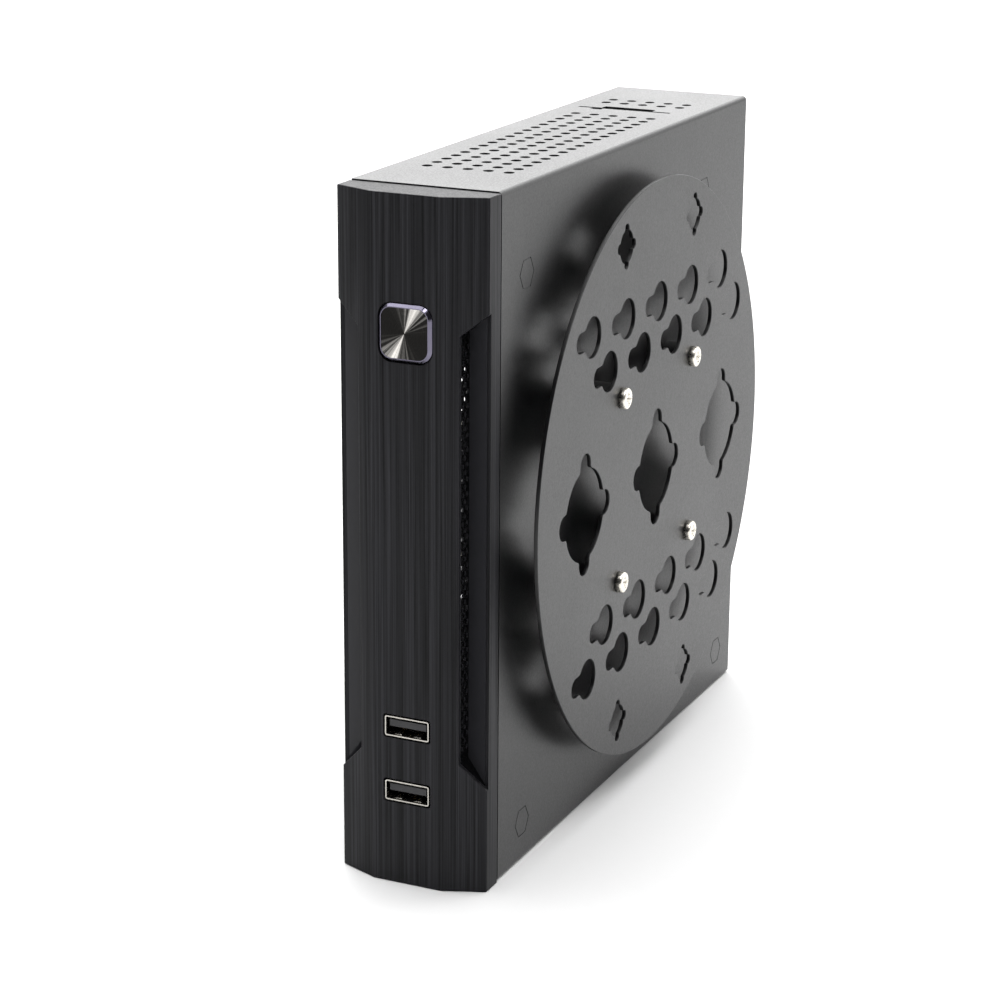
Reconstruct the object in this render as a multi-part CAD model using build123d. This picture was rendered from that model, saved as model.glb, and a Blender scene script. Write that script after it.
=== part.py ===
"""Slim mini PC standing on its edge, with a round mounting plate on its side.

Frame: X across the narrow case, +X towards the mounting plate; +Y to the rear;
Z up. The origin is the middle of the case's bottom face. Sizes are in millimetres.
"""

from build123d import *
import math
import os

# ---- folded steel case ----
CASE_WIDTH = 43.7
CASE_DEPTH = 184.0
CASE_HEIGHT = 193.6
SHEET = 1.0
BEND_RADIUS = 1.3
SEAM = 0.15
COVER_FLANGE = 9.0
COVER_LIP = 9.5
COVER_SCREW_Z = 22.0
COVER_SCREW_REACH = 5.0
COVER_END_GAP = 0.3
MARK_WIDTH = 0.3
MARK_DEPTH = 0.15
FRAME_WINDOW_WIDTH = 32.0
FRAME_WINDOW_GAP = 5.0
SOCKET_OPENING_SIDE = 2.0
SOCKET_OPENING_Z = 1.0

# ---- fasteners and fits shared by several pieces ----
M3 = 3.0
M3_TAP = 2.5
M3_CLEARANCE = 0.2
PAN_HEAD_D = 5.6
PAN_HEAD_HEIGHT = 1.8
PAN_HEAD_CHAMFER = 0.5
RECESS_WIDTH = 2.8
RECESS_DEPTH = 1.0
RECESS_BAR = 0.6
BORE_GAP = 0.1
OVERCUT = 1.0

# ---- vents and slot in the top wall ----
VENT_D = 3.0
VENT_PITCH_X = 6.1
VENT_PITCH_Y = 5.97
VENT_COLUMNS = 5
VENT_ROWS = 23
VENT_GAP_ROWS = (18, 19, 20)
VENT_FIRST_Y = -65.6
VENT_MID_X = -0.45
SLOT_Y = 48.6
SLOT_WIDTH = 1.4
SLOT_X = (-17.0, 13.0)
WINDOW_X = (-9.7, 6.9)
WINDOW_DEPTH = 3.7
STEP_X = (-12.2, -8.7)
STEP_DEPTH = 2.6

# ---- fan vent in the side cover ----
GRID_HOLE_D = 3.6
GRID_PITCH = 5.4
GRID_RADIUS = 43.0

# ---- front bezel ----
BEZEL_WIDTH = 44.2
BEZEL_GAP = 0.95
BEZEL_TOP_DROP = 0.25
BEZEL_SIDE_DEPTH = 7.7
BEZEL_FRONT_DEPTH = 12.4
BEZEL_FLAT = 20.6
BEZEL_WALL = 1.2
BEZEL_EDGE = 0.35
CLIP_WIDTH = 8.0
CLIP_THICK = 1.5
CLIP_HOOK = 0.8
CLIP_INSET_Z = 16.0
CLIP_GAP = 0.2
CLIP_HOOK_LENGTH = 1.3
CLIP_WALL_GAP = 0.3
CLIP_SIDE_GAP = 0.1
CLIP_ROOT_FROM_CORNER = 3.0
CLIP_ROOT_INSET = 0.5
USB_CUT_CORNER = 0.8

# ---- notches in the bezel's sides ----
NOTCH_WALL_X = 14.8
NOTCH_WALL_DEPTH = 4.3
NOTCH_EDGE_DEPTH = 6.7
NOTCH_BOTTOM_Z = 37.6
NOTCH_TOP_Z = 156.9
NOTCH_TOP_SPREAD = 6.0
NOTCH_BOTTOM_SPREAD = 7.6
LINER_SHEET = 0.4
GRILLE_HOLE_D = 1.6
GRILLE_PITCH = 4.0
GRILLE_STAGGER = 1.4
GRILLE_FIRST_DEPTH = 8.45
GRILLE_COLUMNS = 3
NOTCH_OVERRUN = 3.0

# ---- power button ----
BUTTON_Z = 156.6
BUTTON_SIZE = 15.6
BUTTON_CORNER = 3.9
BUTTON_PROUD = 0.6
BUTTON_CHAMFER = 0.8
BUTTON_CAP_THICK = 2.4
BUTTON_GAP = 0.25
BUTTON_TRAVEL = 1.0
BODY_GAP = 0.3
DISH_MARGIN = 0.4
DISH_DEPTH = 0.12
DISH_CORNER_LESS = 1.0
NECK_LESS = 0.6
NECK_MIN = 0.5
FLANGE_SIZE = 18.4
FLANGE_THICK = 1.2
STEM_D = 5.0
STEM_CLEARANCE = 0.1
STEM_BEHIND_FRAME = 1.0
SPRING_WIRE = 0.6
SPRING_D = 7.6
SPRING_TURNS = 5
SPRING_WINDOW_GAP = 0.6

# ---- push switch behind the button ----
SWITCH_SIZE = 7.0
SWITCH_THICK = 5.0
ACTUATOR_D = 3.2
ACTUATOR_CLEARANCE = 0.1
ACTUATOR_PROUD = 2.2
ACTUATOR_HIDDEN = 1.5
SWITCH_BOARD_WIDTH = 16.0
SWITCH_BOARD_HEIGHT = 26.0
SWITCH_POST_D = 4.0
SWITCH_POST_SPACING = 19.0
SMALL_BOARD = 1.6
ACTUATOR_END_GAP = 0.2
POST_SCREW_D = 2.0
POST_HOLE_D = 2.2
POST_HEAD_D = 3.8
POST_HEAD_HEIGHT = 1.4

# ---- front USB sockets ----
USB_UPPER_Z = 46.2
USB_LOWER_Z = 27.3
USB_WIDTH = 13.3
USB_HEIGHT = 5.8
USB_SHEET = 0.35
USB_RECESS = 0.1
USB_TONGUE_THICK = 1.9
USB_TONGUE_WIDTH = 11.1
USB_TONGUE_SET = 0.9
USB_TONGUE_RECESS = 0.8
USB_CONTACT_PITCH = 2.3
USB_CUT_MARGIN = 0.5
IO_BOARD_WIDTH = 26.0
IO_BOARD_MARGIN_Z = 12.5
IO_SCREW_INSET = 3.2
IO_SCREW_HEAD_D = 4.5
IO_SCREW_HEAD_HEIGHT = 1.6
IO_HEADER = (12.0, 5.0, 6.0)
USB_CORNER_OUT = 0.6
USB_CORNER_IN = 0.3
USB_BACK_WALL = 1.0
USB_BACK_BLOCK = 3.0
USB_CONTACT_WIDTH = 1.0
USB_CONTACT_THICK = 0.3
USB_CONTACT_SET = 1.2
USB_CONTACTS = 4

# ---- motherboard (thin mini-ITX) ----
BOARD_SIDE = 170.0
BOARD_THICK = 1.6
BOARD_REAR_GAP = 2.8
BOARD_BOTTOM_Z = 5.5
STANDOFF_LENGTH = 6.5
STANDOFF_D = 6.0
STANDOFF_MARK_FLATS = 8.1
HOLE_EDGE = 6.3
HOLE_REAR_LOW = 10.16
HOLE_REAR_HIGH = 33.02
HOLE_FRONT = 165.1
BOARD_HOLE_D = 3.9
BOARD_SCREW_HEAD_D = 5.8
BOARD_SCREW_HEAD_HEIGHT = 2.0
BOARD_SCREW_REACH = 4.0
STANDOFF_FLOOR = 1.0

# ---- cooler ----
COOLER_Y = -15.0
COOLER_Z = 94.5
COOLER_SIDE = 50.0
PROCESSOR_SIDE = 26.0
PROCESSOR_THICK = 2.0
PROCESSOR_BASE = 1.0
DIE_WIDTH = 14.0
DIE_HEIGHT = 12.0
PASTE_GAP = 0.1
SINK_BASE = 4.0
SINK_FIN_HEIGHT = 10.5
SINK_FINS = 14
SINK_FIN_THICK = 1.1
FAN_THICK = 10.0
FAN_GAP = 0.2
FAN_BORE_D = 47.0
FAN_HUB_D = 20.0
FAN_BLADES = 9
FAN_TIP_GAP = 0.6
FAN_SCREW_PITCH = 41.0
FAN_SCREW_HEAD_D = 5.0
FAN_SCREW_HEAD_HEIGHT = 1.6
FAN_SCREW_D = 2.9
FAN_SCREW_REACH = 6.0
FAN_HOLE_D = 3.4
FAN_CORNER = 3.0
FAN_SPOKE = 3.0
FAN_SPOKE_THICK = 1.5
FAN_POST_LENGTH = 5.0
FAN_POST_WALL = 1.5
FAN_CUP_WALL = 1.2
FAN_FACE_SET = 0.6
FAN_CUP_GAP = 0.5
SHAFT_END_GAP = 0.3
BLADE_CHORD = 7.5
BLADE_THICK = 1.0
BLADE_PITCH = 38.0
BLADE_ROOT = 0.5
SHAFT_D = 3.0
SHAFT_CLEARANCE = 0.05

# ---- 2.5 inch drive and bracket ----
DRIVE_LENGTH = 100.0
DRIVE_WIDTH = 69.85
DRIVE_THICK = 7.0
DRIVE_COVER_GAP = 1.6
DRIVE_TOP_GAP = 10.0
DRIVE_REAR_GAP = 6.0
TAB_X = (-3.0, 2.0)
TAB_REACH = 6.5
TAB_EDGE_GAP = 0.8
BRACKET_FLANGE_WIDTH = 14.0
BRACKET_MARGIN = 2.0
BRACKET_WINDOW_SIDE = 14.0
BRACKET_WINDOW_LOW = 20.0
BRACKET_WINDOW_HIGH = 22.0
BRACKET_TOP_GAP = 0.1
DRIVE_CORNER = 1.5
DRIVE_PLUG_Y = (8.0, 44.0)
DRIVE_PLUG_DEPTH = 4.0
DRIVE_HOLE_SIDE = 4.0
DRIVE_HOLE_LOW = 14.0
DRIVE_HOLE_HIGH = 10.0
DRIVE_HEAD_D = 5.0
DRIVE_HEAD_HEIGHT = 1.2

# ---- memory, cards and other things on the board ----
MEMORY_Y0 = 48.0
MEMORY_PITCH = 11.0
MEMORY_Z = 129.0
MEMORY_LENGTH = 67.6
MEMORY_SOCKET_HEIGHTS = (4.0, 7.6)
MEMORY_SOCKET_DEPTH = 6.0
MEMORY_SOCKET_END = 2.5
MEMORY_SPAN = 30.0
MEMORY_SEAT = 2.9
MEMORY_BOARD = 1.0
MEMORY_SLOT = 1.2
MEMORY_CHIP_PITCH = 15.5
MEMORY_CHIP = (11.0, 11.0, 0.9)
CARD_SHEET = 0.8
CARD_FIT = 0.1
CARD_SOCKET = 6.0
CARD_SEAT = 3.0
CARD_SOCKET_MARGIN = 1.0
CARD_CHIP = 1.2
CARD_END_Y = 5.0
STORAGE_CARD_Z = (38.0, 60.0)
STORAGE_CARD_LENGTH = 80.0
STORAGE_CARD_LIFT = 2.6
STORAGE_CHIPS_Y = (-70.0, -50.0, -28.0)
STORAGE_CHIP_LENGTH = 13.0
RADIO_CARD_Z = (10.0, 32.0)
RADIO_CARD_LENGTH = 30.0
RADIO_CARD_LIFT = 2.2
RADIO_CAN_Y = (-22.0, -2.0)
CHOKE_SIDE = 7.0
CHOKE_HEIGHT = 4.5
CHOKE_PITCH = 9.0
CHOKE_COUNT = 4
CHOKE_Y = -34.0
CHOKE_Z = 124.0
CHIP_SPOTS = (((20, 34), (60, 74), 1.6), ((46, 54), (40, 48), 1.2), ((-70, -62), (120, 128), 1.2))
CELL_D = 20.0
CELL_Y = -60.0
CELL_Z = 150.0
CELL_TOP = 4.0
CELL_FLOOR = 0.8
HOLDER_D = 22.5
HOLDER_TOP = 3.0

# ---- rear panel ----
SHIELD_HEIGHT = 158.75
SHIELD_WIDTH = 26.0
SHIELD_BOTTOM_Z = 11.0
SHIELD_SHEET = 0.5
SHIELD_OVERLAP = 1.5
SHIELD_BELOW_BOARD = 1.2
PORT_GAP = 0.25
ANTENNA_Z = 181.0
ANTENNA_SPACING = 14.0
ANTENNA_D = 6.35
ANTENNA_MID_X = 3.0
ANTENNA_BORE_D = 4.4
ANTENNA_PROUD = 7.0
ANTENNA_INSIDE = 8.0
ANTENNA_NUT_D = 9.2
ANTENNA_NUT_THICK = 2.0
ANTENNA_PIN_D = 0.9
ANTENNA_PIN_END = 1.0
DC_Z = 21.0
HDMI_Z = 40.0
DISPLAY_Z = 61.0
USB_A_Z = 83.0
LAN_Z = 105.0
USB_B_Z = 127.0
AUDIO_Z = (143.5, 157.0)
DC_SIZE = (10.0, 11.0)
HDMI_SIZE = (15.0, 5.6)
DISPLAY_SIZE = (16.6, 5.2)
STACK_SIZE = (13.3, 15.8)
LAN_SIZE = (16.0, 13.6)
AUDIO_SIZE = (11.0, 11.4)
PORT_MOUTH = 0.2
PORT_BACK_WALL = 2.0
DC_DEPTH = 14.0
DC_BORE_D = 6.4
DC_BORE_DEPTH = 10.0
DC_PIN_D = 2.5
DC_PIN_SET = 0.8
VIDEO_DEPTH = 12.0
VIDEO_WALL = 0.5
VIDEO_TONGUE = 1.2
VIDEO_TONGUE_SHARE = 0.8
VIDEO_TONGUE_SET = 1.0
STACK_DEPTH = 17.0
STACK_BACK_WALL = 3.0
STACK_MIDDLE = 3.0
STACK_TONGUE = 1.8
STACK_TONGUE_SHARE = 0.62
STACK_TONGUE_MARGIN = 0.8
LAN_DEPTH = 21.0
LAN_HOLE_DEPTH = 14.0
LAN_HOLE_X = (3.6, 11.6)
LAN_HOLE_WIDTH = 11.8
LAN_LATCH_X = (1.6, 3.7)
LAN_LATCH_WIDTH = 6.2
AUDIO_DEPTH = 12.0
AUDIO_BORE_D = 3.6
AUDIO_BORE_DEPTH = 10.5
SHIELD_CUT_DEPTH = 8.0

# ---- leads inside the case: diameter, bend radius and how far they stand off ----
USB_LEAD_D = 4.0
USB_LEAD_BEND = 6.0
USB_LEAD_RUN = 10.0
USB_LEAD_LIFT = 6.0
USB_LEAD_DROP = 9.0
USB_PLUG = (12.0, 6.0, 9.0)
SWITCH_LEAD_D = 1.6
SWITCH_LEAD_BEND = 2.4
SWITCH_LEAD_X = 3.0
SWITCH_LEAD_LIFT = 4.0
SWITCH_LEAD_START = 6.0
SWITCH_LEAD_END = 18.0
SWITCH_LEAD_RUNS = (5.0, 9.0, 16.0)
FAN_LEAD_D = 1.8
FAN_LEAD_BEND = 2.2
FAN_LEAD_RUN = 5.0
FAN_LEAD_DROPS = (14.0, 22.0)
FAN_LEAD_INSET = 3.0
FAN_LEAD_LIFT = 6.0
DRIVE_LEAD_D = 3.0
DRIVE_LEAD_BEND = 4.0
DRIVE_LEAD_Y = 26.0
DRIVE_LEAD_LIFT = 8.0
DRIVE_LEAD_DROPS = (6.0, 12.0)

# ---- round mounting plate ----
PLATE_D = 172.0
PLATE_THICK = 1.2
PLATE_Z = 97.0
PLATE_STANDOFF = 7.2
KEY_HEAD_D = 11.7
KEY_NECK = 5.8
KEY_REACH = 8.3
KEY_FILLET = 1.2
KEY_PITCH = 25.0
KEY_ROW_OUTER = 50.0
KEY_ROW_INNER = 37.5
CROSS_PITCH = 53.6
CROSS_BODY_D = 26.8
CROSS_REACH = 14.1
CROSS_LOBE_D = 7.2
SMALL_CROSS_BODY_D = 9.7
SMALL_CROSS_REACH = 5.0
SMALL_CROSS_LOBE_D = 3.0
SMALL_CROSS_Y = 26.5
SMALL_CROSS_Z = 71.0
SPACER_SQUARE = 55.0
SPACER_D = 8.0
PLATE_SCREW_D = 3.5
PLATE_HEAD_D = 6.2
PLATE_HEAD_HEIGHT = 2.0
NUT_D = 7.0
NUT_THICK = 2.5
PLATE_HEAD_ROUND = 0.5
PLATE_RECESS_DEPTH = 1.1
PLATE_RECESS_BAR = 0.8
PLATE_RECESS_SHARE = 0.6
PLATE_SCREW_END = 0.5
CORNER_TOLERANCE = 0.01

# ---- planes worked out from the sizes above ----
HALF_W = CASE_WIDTH / 2
INNER_X = HALF_W - SHEET
FRONT_Y = -CASE_DEPTH / 2
REAR_Y = CASE_DEPTH / 2
FRAME_BACK_Y = FRONT_Y + SHEET
REAR_PANEL_Y = REAR_Y - SHEET
MOUTH_Y = REAR_Y - PORT_MOUTH
BEZEL_TOP_Z = CASE_HEIGHT - BEZEL_TOP_DROP
BEZEL_FACE_Y = FRONT_Y - BEZEL_FRONT_DEPTH
BEZEL_CORNER_Y = FRONT_Y - BEZEL_SIDE_DEPTH
BEZEL_BACK_Y = FRONT_Y - BEZEL_GAP
BOARD_BACK_X = INNER_X - STANDOFF_LENGTH
BOARD_FACE_X = BOARD_BACK_X - BOARD_THICK
BOARD_REAR_Y = REAR_Y - BOARD_REAR_GAP
BOARD_FRONT_Y = BOARD_REAR_Y - BOARD_SIDE
BOARD_TOP_Z = BOARD_BOTTOM_Z + BOARD_SIDE
COVER_INNER_X = -HALF_W + SHEET
PROCESSOR_X = BOARD_FACE_X - PROCESSOR_THICK
SINK_BACK_X = PROCESSOR_X - PASTE_GAP
SINK_TOP_X = SINK_BACK_X - SINK_BASE - SINK_FIN_HEIGHT
FAN_BACK_X = SINK_TOP_X - FAN_GAP
FAN_FACE_X = FAN_BACK_X - FAN_THICK
PLATE_IN_X = HALF_W + PLATE_STANDOFF
PLATE_OUT_X = PLATE_IN_X + PLATE_THICK
USB_HOLES_Z = (USB_UPPER_Z, USB_LOWER_Z)
MEMORY_LOW_Z = MEMORY_Z - MEMORY_LENGTH / 2


def block(x0, x1, y0, y1, z0, z1):
    """A box between two corners."""
    middle = Pos((x0 + x1) / 2, (y0 + y1) / 2, (z0 + z1) / 2)
    return middle * Box(x1 - x0, y1 - y0, z1 - z0)


def along_x(sketch, x0, x1):
    """A sketch in (Y, Z), drawn out from x0 to x1."""
    return extrude(Plane.YZ.offset(x0) * sketch, amount=x1 - x0)


def along_y(sketch, y0, y1):
    """A sketch in (X, Z), drawn out from y0 to y1."""
    return extrude(Plane.XZ.offset(-y1) * sketch, amount=y1 - y0)


def along_z(sketch, z0, z1):
    """A sketch in (X, Y), drawn out from z0 to z1."""
    return extrude(Plane.XY.offset(z0) * sketch, amount=z1 - z0)


def rod_x(diameter, x0, x1, y, z):
    """A round bar along X."""
    return along_x(Pos(y, z) * Circle(diameter / 2), x0, x1)


def rod_y(diameter, y0, y1, x, z):
    """A round bar along Y."""
    return along_y(Pos(x, z) * Circle(diameter / 2), y0, y1)


def group(pieces):
    """Like pieces kept as separate solids in one node."""
    return Compound(children=list(pieces))


def write(shape, name):
    """One STEP file for each node."""
    export_step(shape, os.path.join("parts", name + ".step"))


def square_points(pitch, y, z):
    """The corners of a square about (y, z), in the side panel's plane."""
    half = pitch / 2
    return [(y + a * half, z + b * half) for a in (-1, 1) for b in (-1, 1)]


def standoff_points():
    """The board's four fixing holes as (y, z)."""
    low = BOARD_BOTTOM_Z + HOLE_EDGE
    high = BOARD_TOP_Z - HOLE_EDGE
    front = BOARD_REAR_Y - HOLE_FRONT
    rear_low = (BOARD_REAR_Y - HOLE_REAR_LOW, low)
    rear_high = (BOARD_REAR_Y - HOLE_REAR_HIGH, high)
    return [(front, low), (front, high), rear_low, rear_high]


# ---- case ----


def vent_points():
    """Centres of the top wall's vents, in (X, Y), with rows left out for the slot."""
    first_x = VENT_MID_X - VENT_PITCH_X * (VENT_COLUMNS - 1) / 2
    xs = [first_x + i * VENT_PITCH_X for i in range(VENT_COLUMNS)]
    rows = [n for n in range(VENT_ROWS) if n not in VENT_GAP_ROWS]
    return [(x, VENT_FIRST_Y + n * VENT_PITCH_Y) for n in rows for x in xs]


def slot_cut():
    """The narrow slot, its wide window and the step at the window's end."""
    half = SLOT_WIDTH / 2
    z0 = CASE_HEIGHT - 2 * SHEET
    z1 = CASE_HEIGHT + SHEET
    slot = block(*SLOT_X, SLOT_Y - half, SLOT_Y + half, z0, z1)
    window = block(*WINDOW_X, SLOT_Y - half, SLOT_Y + WINDOW_DEPTH, z0, z1)
    step = block(*STEP_X, SLOT_Y - STEP_DEPTH, SLOT_Y + half, z0, z1)
    return slot + window + step


def base_tray():
    """Side panel, top wall and bottom wall folded from one sheet."""
    outer = Pos(0, CASE_HEIGHT / 2) * Rectangle(CASE_WIDTH, CASE_HEIGHT)
    outer = fillet(outer.vertices().filter_by(lambda v: v.X > 0), BEND_RADIUS)
    inner = Pos(-SHEET, CASE_HEIGHT / 2) * Rectangle(CASE_WIDTH, CASE_HEIGHT - 2 * SHEET)
    inner = fillet(inner.vertices().filter_by(lambda v: v.X > 0), BEND_RADIUS - SHEET)
    tray = along_y(outer - inner, FRONT_Y, REAR_Y)
    top = (CASE_HEIGHT - 2 * SHEET, CASE_HEIGHT + SHEET)
    vents = [along_z(Pos(x, y) * Circle(VENT_D / 2), *top) for x, y in vent_points()]
    apothem = STANDOFF_MARK_FLATS / 2
    inside = RegularPolygon(apothem - MARK_WIDTH, 6, major_radius=False)
    mark = RegularPolygon(apothem, 6, major_radius=False) - inside
    proud = HALF_W + OVERCUT
    marks = [along_x(Pos(y, z) * mark, HALF_W - MARK_DEPTH, proud) for y, z in standoff_points()]
    seats = [
        rod_x(PLATE_SCREW_D + 2 * BORE_GAP, INNER_X - OVERCUT, proud, y, z)
        for y, z in square_points(SPACER_SQUARE, 0, PLATE_Z)
    ]
    return tray - vents - marks - seats - slot_cut()


def cover_screw_points():
    """The two screws through the cover's rear lip, as (x, z)."""
    x = -HALF_W + COVER_LIP / 2
    return [(x, COVER_SCREW_Z), (x, CASE_HEIGHT - COVER_SCREW_Z)]


def grid_points():
    """Centres of the staggered vent holes over the fan, in (Y, Z)."""
    row_pitch = GRID_PITCH * math.sqrt(3) / 2
    reach = int(GRID_RADIUS / row_pitch)
    points = []
    for row in range(-reach, reach + 1):
        shift = GRID_PITCH / 2 if row % 2 else 0
        for column in range(-reach - 1, reach + 1):
            y = column * GRID_PITCH + shift
            z = row * row_pitch
            if math.hypot(y, z) <= GRID_RADIUS:
                points.append((COOLER_Y + y, COOLER_Z + z))
    return points


def side_cover():
    """Flat cover on the far side, with folded flanges and a rear lip."""
    low = SHEET + SEAM
    high = CASE_HEIGHT - SHEET - SEAM
    plate = block(-HALF_W, COVER_INNER_X, FRONT_Y, REAR_Y, low, high)
    start = FRAME_BACK_Y + COVER_END_GAP
    end = REAR_PANEL_Y - SHEET - COVER_END_GAP
    reach = -HALF_W + COVER_FLANGE
    bottom = block(-HALF_W, reach, start, end, low, low + SHEET)
    top = block(-HALF_W, reach, start, end, high - SHEET, high)
    lip = block(-HALF_W, -HALF_W + COVER_LIP, REAR_PANEL_Y, REAR_Y, low, high)
    cover = plate + bottom + top + lip
    deep = (REAR_PANEL_Y - OVERCUT, REAR_Y + OVERCUT)
    holes = [rod_y(M3 + M3_CLEARANCE, *deep, x, z) for x, z in cover_screw_points()]
    x0 = -HALF_W - OVERCUT
    x1 = COVER_INNER_X + OVERCUT
    grid = [rod_x(GRID_HOLE_D, x0, x1, y, z) for y, z in grid_points()]
    return cover - holes - grid


def cover_screws():
    """Two pan-head screws that hold the cover's lip to the rear panel."""
    screws = []
    for x, z in cover_screw_points():
        head_y = REAR_Y + PAN_HEAD_HEIGHT
        head = rod_y(PAN_HEAD_D, REAR_Y, head_y, x, z)
        head = chamfer(head.faces().sort_by(Axis.Y)[-1].edges(), PAN_HEAD_CHAMFER)
        shank = rod_y(M3, REAR_Y - COVER_SCREW_REACH, REAR_Y, x, z)
        screws.append(head + shank - cross_drive(x, head_y, z))
    return group(screws)


def cross_drive(x, y, z):
    """A cross recess in a screw head that faces +Y."""
    deep = (y - RECESS_DEPTH, y + OVERCUT)
    arm = RECESS_WIDTH / 2
    half = RECESS_BAR / 2
    flat = block(x - arm, x + arm, *deep, z - half, z + half)
    return flat + block(x - half, x + half, *deep, z - arm, z + arm)


def clip_points():
    """Bezel clips: (side, z) with side -1 or +1."""
    heights = (CLIP_INSET_Z, CASE_HEIGHT - CLIP_INSET_Z)
    return [(side, z) for side in (-1, 1) for z in heights]


def clip_span():
    """How near to and far from the mid plane a bezel clip lies."""
    outer = BEZEL_WIDTH / 2 - BEZEL_WALL - CLIP_WALL_GAP
    return outer - CLIP_THICK, outer


def end_panel():
    """The shape of a panel that closes one end of the tray, in (X, Z)."""
    left = COVER_INNER_X + SEAM
    high = CASE_HEIGHT - 2 * SHEET
    panel = Pos((left + INNER_X) / 2, CASE_HEIGHT / 2) * Rectangle(INNER_X - left, high)
    return fillet(panel.vertices().filter_by(lambda v: v.X > 0), BEND_RADIUS - SHEET)


def front_frame():
    """Steel panel that closes the tray's front and carries the bezel."""
    frame = along_y(end_panel(), FRONT_Y, FRAME_BACK_Y)
    deep = (FRONT_Y - OVERCUT, FRAME_BACK_Y + OVERCUT)
    window_bottom = USB_UPPER_Z + IO_BOARD_MARGIN_Z + FRAME_WINDOW_GAP
    window_top = BUTTON_Z - SPRING_D / 2 - SPRING_WINDOW_GAP
    window_half = FRAME_WINDOW_WIDTH / 2
    window = block(-window_half, window_half, *deep, window_bottom, window_top)
    sockets_half = USB_WIDTH / 2 + SOCKET_OPENING_SIDE
    low = USB_LOWER_Z - USB_HEIGHT - SOCKET_OPENING_Z
    high = USB_UPPER_Z + USB_HEIGHT + SOCKET_OPENING_Z
    sockets = block(-sockets_half, sockets_half, *deep, low, high)
    stem = rod_y(STEM_D + 2 * STEM_CLEARANCE, *deep, 0, BUTTON_Z)
    inner, outer = clip_span()
    slots = []
    for side, z in clip_points():
        xs = sorted((side * (inner - CLIP_SIDE_GAP), side * (outer + CLIP_SIDE_GAP)))
        half = CLIP_WIDTH / 2 + CLIP_GAP
        slots.append(block(*xs, *deep, z - half, z + half))
    screw_holes = [rod_y(M3_TAP, *deep, 0, z) for z in io_screw_heights()]
    return frame - window - sockets - stem - slots - screw_holes


def rear_panel():
    """Steel panel with the port aperture, slots and two antenna holes."""
    y0 = REAR_PANEL_Y - SHEET
    panel = along_y(end_panel(), y0, REAR_PANEL_Y)
    deep = (y0 - OVERCUT, REAR_PANEL_Y + OVERCUT)
    x1 = BOARD_BACK_X + SHIELD_BELOW_BOARD
    x0 = x1 - SHIELD_WIDTH
    aperture = block(x0, x1, *deep, SHIELD_BOTTOM_Z, SHIELD_BOTTOM_Z + SHIELD_HEIGHT)
    threads = [rod_y(M3, *deep, x, z) for x, z in cover_screw_points()]
    antennas = [rod_y(ANTENNA_D + 2 * BORE_GAP, *deep, x, ANTENNA_Z) for x in antenna_xs()]
    return panel - aperture - threads - antennas


def antenna_xs():
    """Where the two antenna sockets stand across the rear panel."""
    return (ANTENNA_MID_X - ANTENNA_SPACING / 2, ANTENNA_MID_X + ANTENNA_SPACING / 2)


# ---- bezel ----


def bezel_outline(inset):
    """The bezel's section in (X, Y), moved in by an inset from its outer faces."""
    half = BEZEL_WIDTH / 2 - inset
    slope = math.atan2(BEZEL_CORNER_Y - BEZEL_FACE_Y, (BEZEL_WIDTH - BEZEL_FLAT) / 2)
    face = BEZEL_FACE_Y + inset
    flat = BEZEL_FLAT / 2 - inset * math.tan(slope / 2)
    corner = face + (half - flat) * math.tan(slope)
    back = BEZEL_BACK_Y + inset
    points = [(-half, back), (-half, corner), (-flat, face), (flat, face), (half, corner), (half, back)]
    return make_face(Polyline(*points, close=True))


def notch_body(grow):
    """The right-hand notch's space, grown on its inner faces."""
    wall_x = NOTCH_WALL_X - grow
    far_x = BEZEL_WIDTH / 2 + NOTCH_OVERRUN
    wall_y = FRONT_Y - NOTCH_WALL_DEPTH + grow
    edge_y = FRONT_Y - NOTCH_EDGE_DEPTH + grow
    run = BEZEL_WIDTH / 2 - NOTCH_WALL_X
    far_y = edge_y - (wall_y - edge_y) * NOTCH_OVERRUN / run
    front = BEZEL_FACE_Y - NOTCH_OVERRUN
    section = make_face(
        Polyline((wall_x, wall_y), (far_x, far_y), (far_x, front), (wall_x, front), close=True)
    )
    low = NOTCH_BOTTOM_Z - grow
    high = NOTCH_TOP_Z + grow
    far_low = low - NOTCH_BOTTOM_SPREAD * (far_x - wall_x) / run
    far_high = high + NOTCH_TOP_SPREAD * (far_x - wall_x) / run
    sides = make_face(
        Polyline((wall_x, low), (far_x, far_low), (far_x, far_high), (wall_x, high), close=True)
    )
    z_range = (far_low - OVERCUT, far_high + OVERCUT)
    return along_z(section, *z_range) & along_y(sides, front - OVERCUT, BEZEL_BACK_Y)


def bezel_clip(side, z):
    """A hook that reaches through the front frame and catches behind it."""
    inner, outer = clip_span()
    z0 = z - CLIP_WIDTH / 2
    z1 = z + CLIP_WIDTH / 2
    arm_xs = sorted((side * inner, side * outer))
    hook_xs = sorted((side * (inner - CLIP_HOOK), side * outer))
    root_xs = sorted((side * inner, side * (BEZEL_WIDTH / 2 - BEZEL_WALL / 2)))
    hook_y = FRAME_BACK_Y + CLIP_GAP
    start = BEZEL_CORNER_Y + CLIP_ROOT_FROM_CORNER
    arm = block(*arm_xs, start, hook_y + CLIP_HOOK_LENGTH, z0, z1)
    hook = block(*hook_xs, hook_y, hook_y + CLIP_HOOK_LENGTH, z0, z1)
    root = block(*root_xs, start, BEZEL_BACK_Y - CLIP_ROOT_INSET, z0, z1)
    return arm + hook + root


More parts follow.
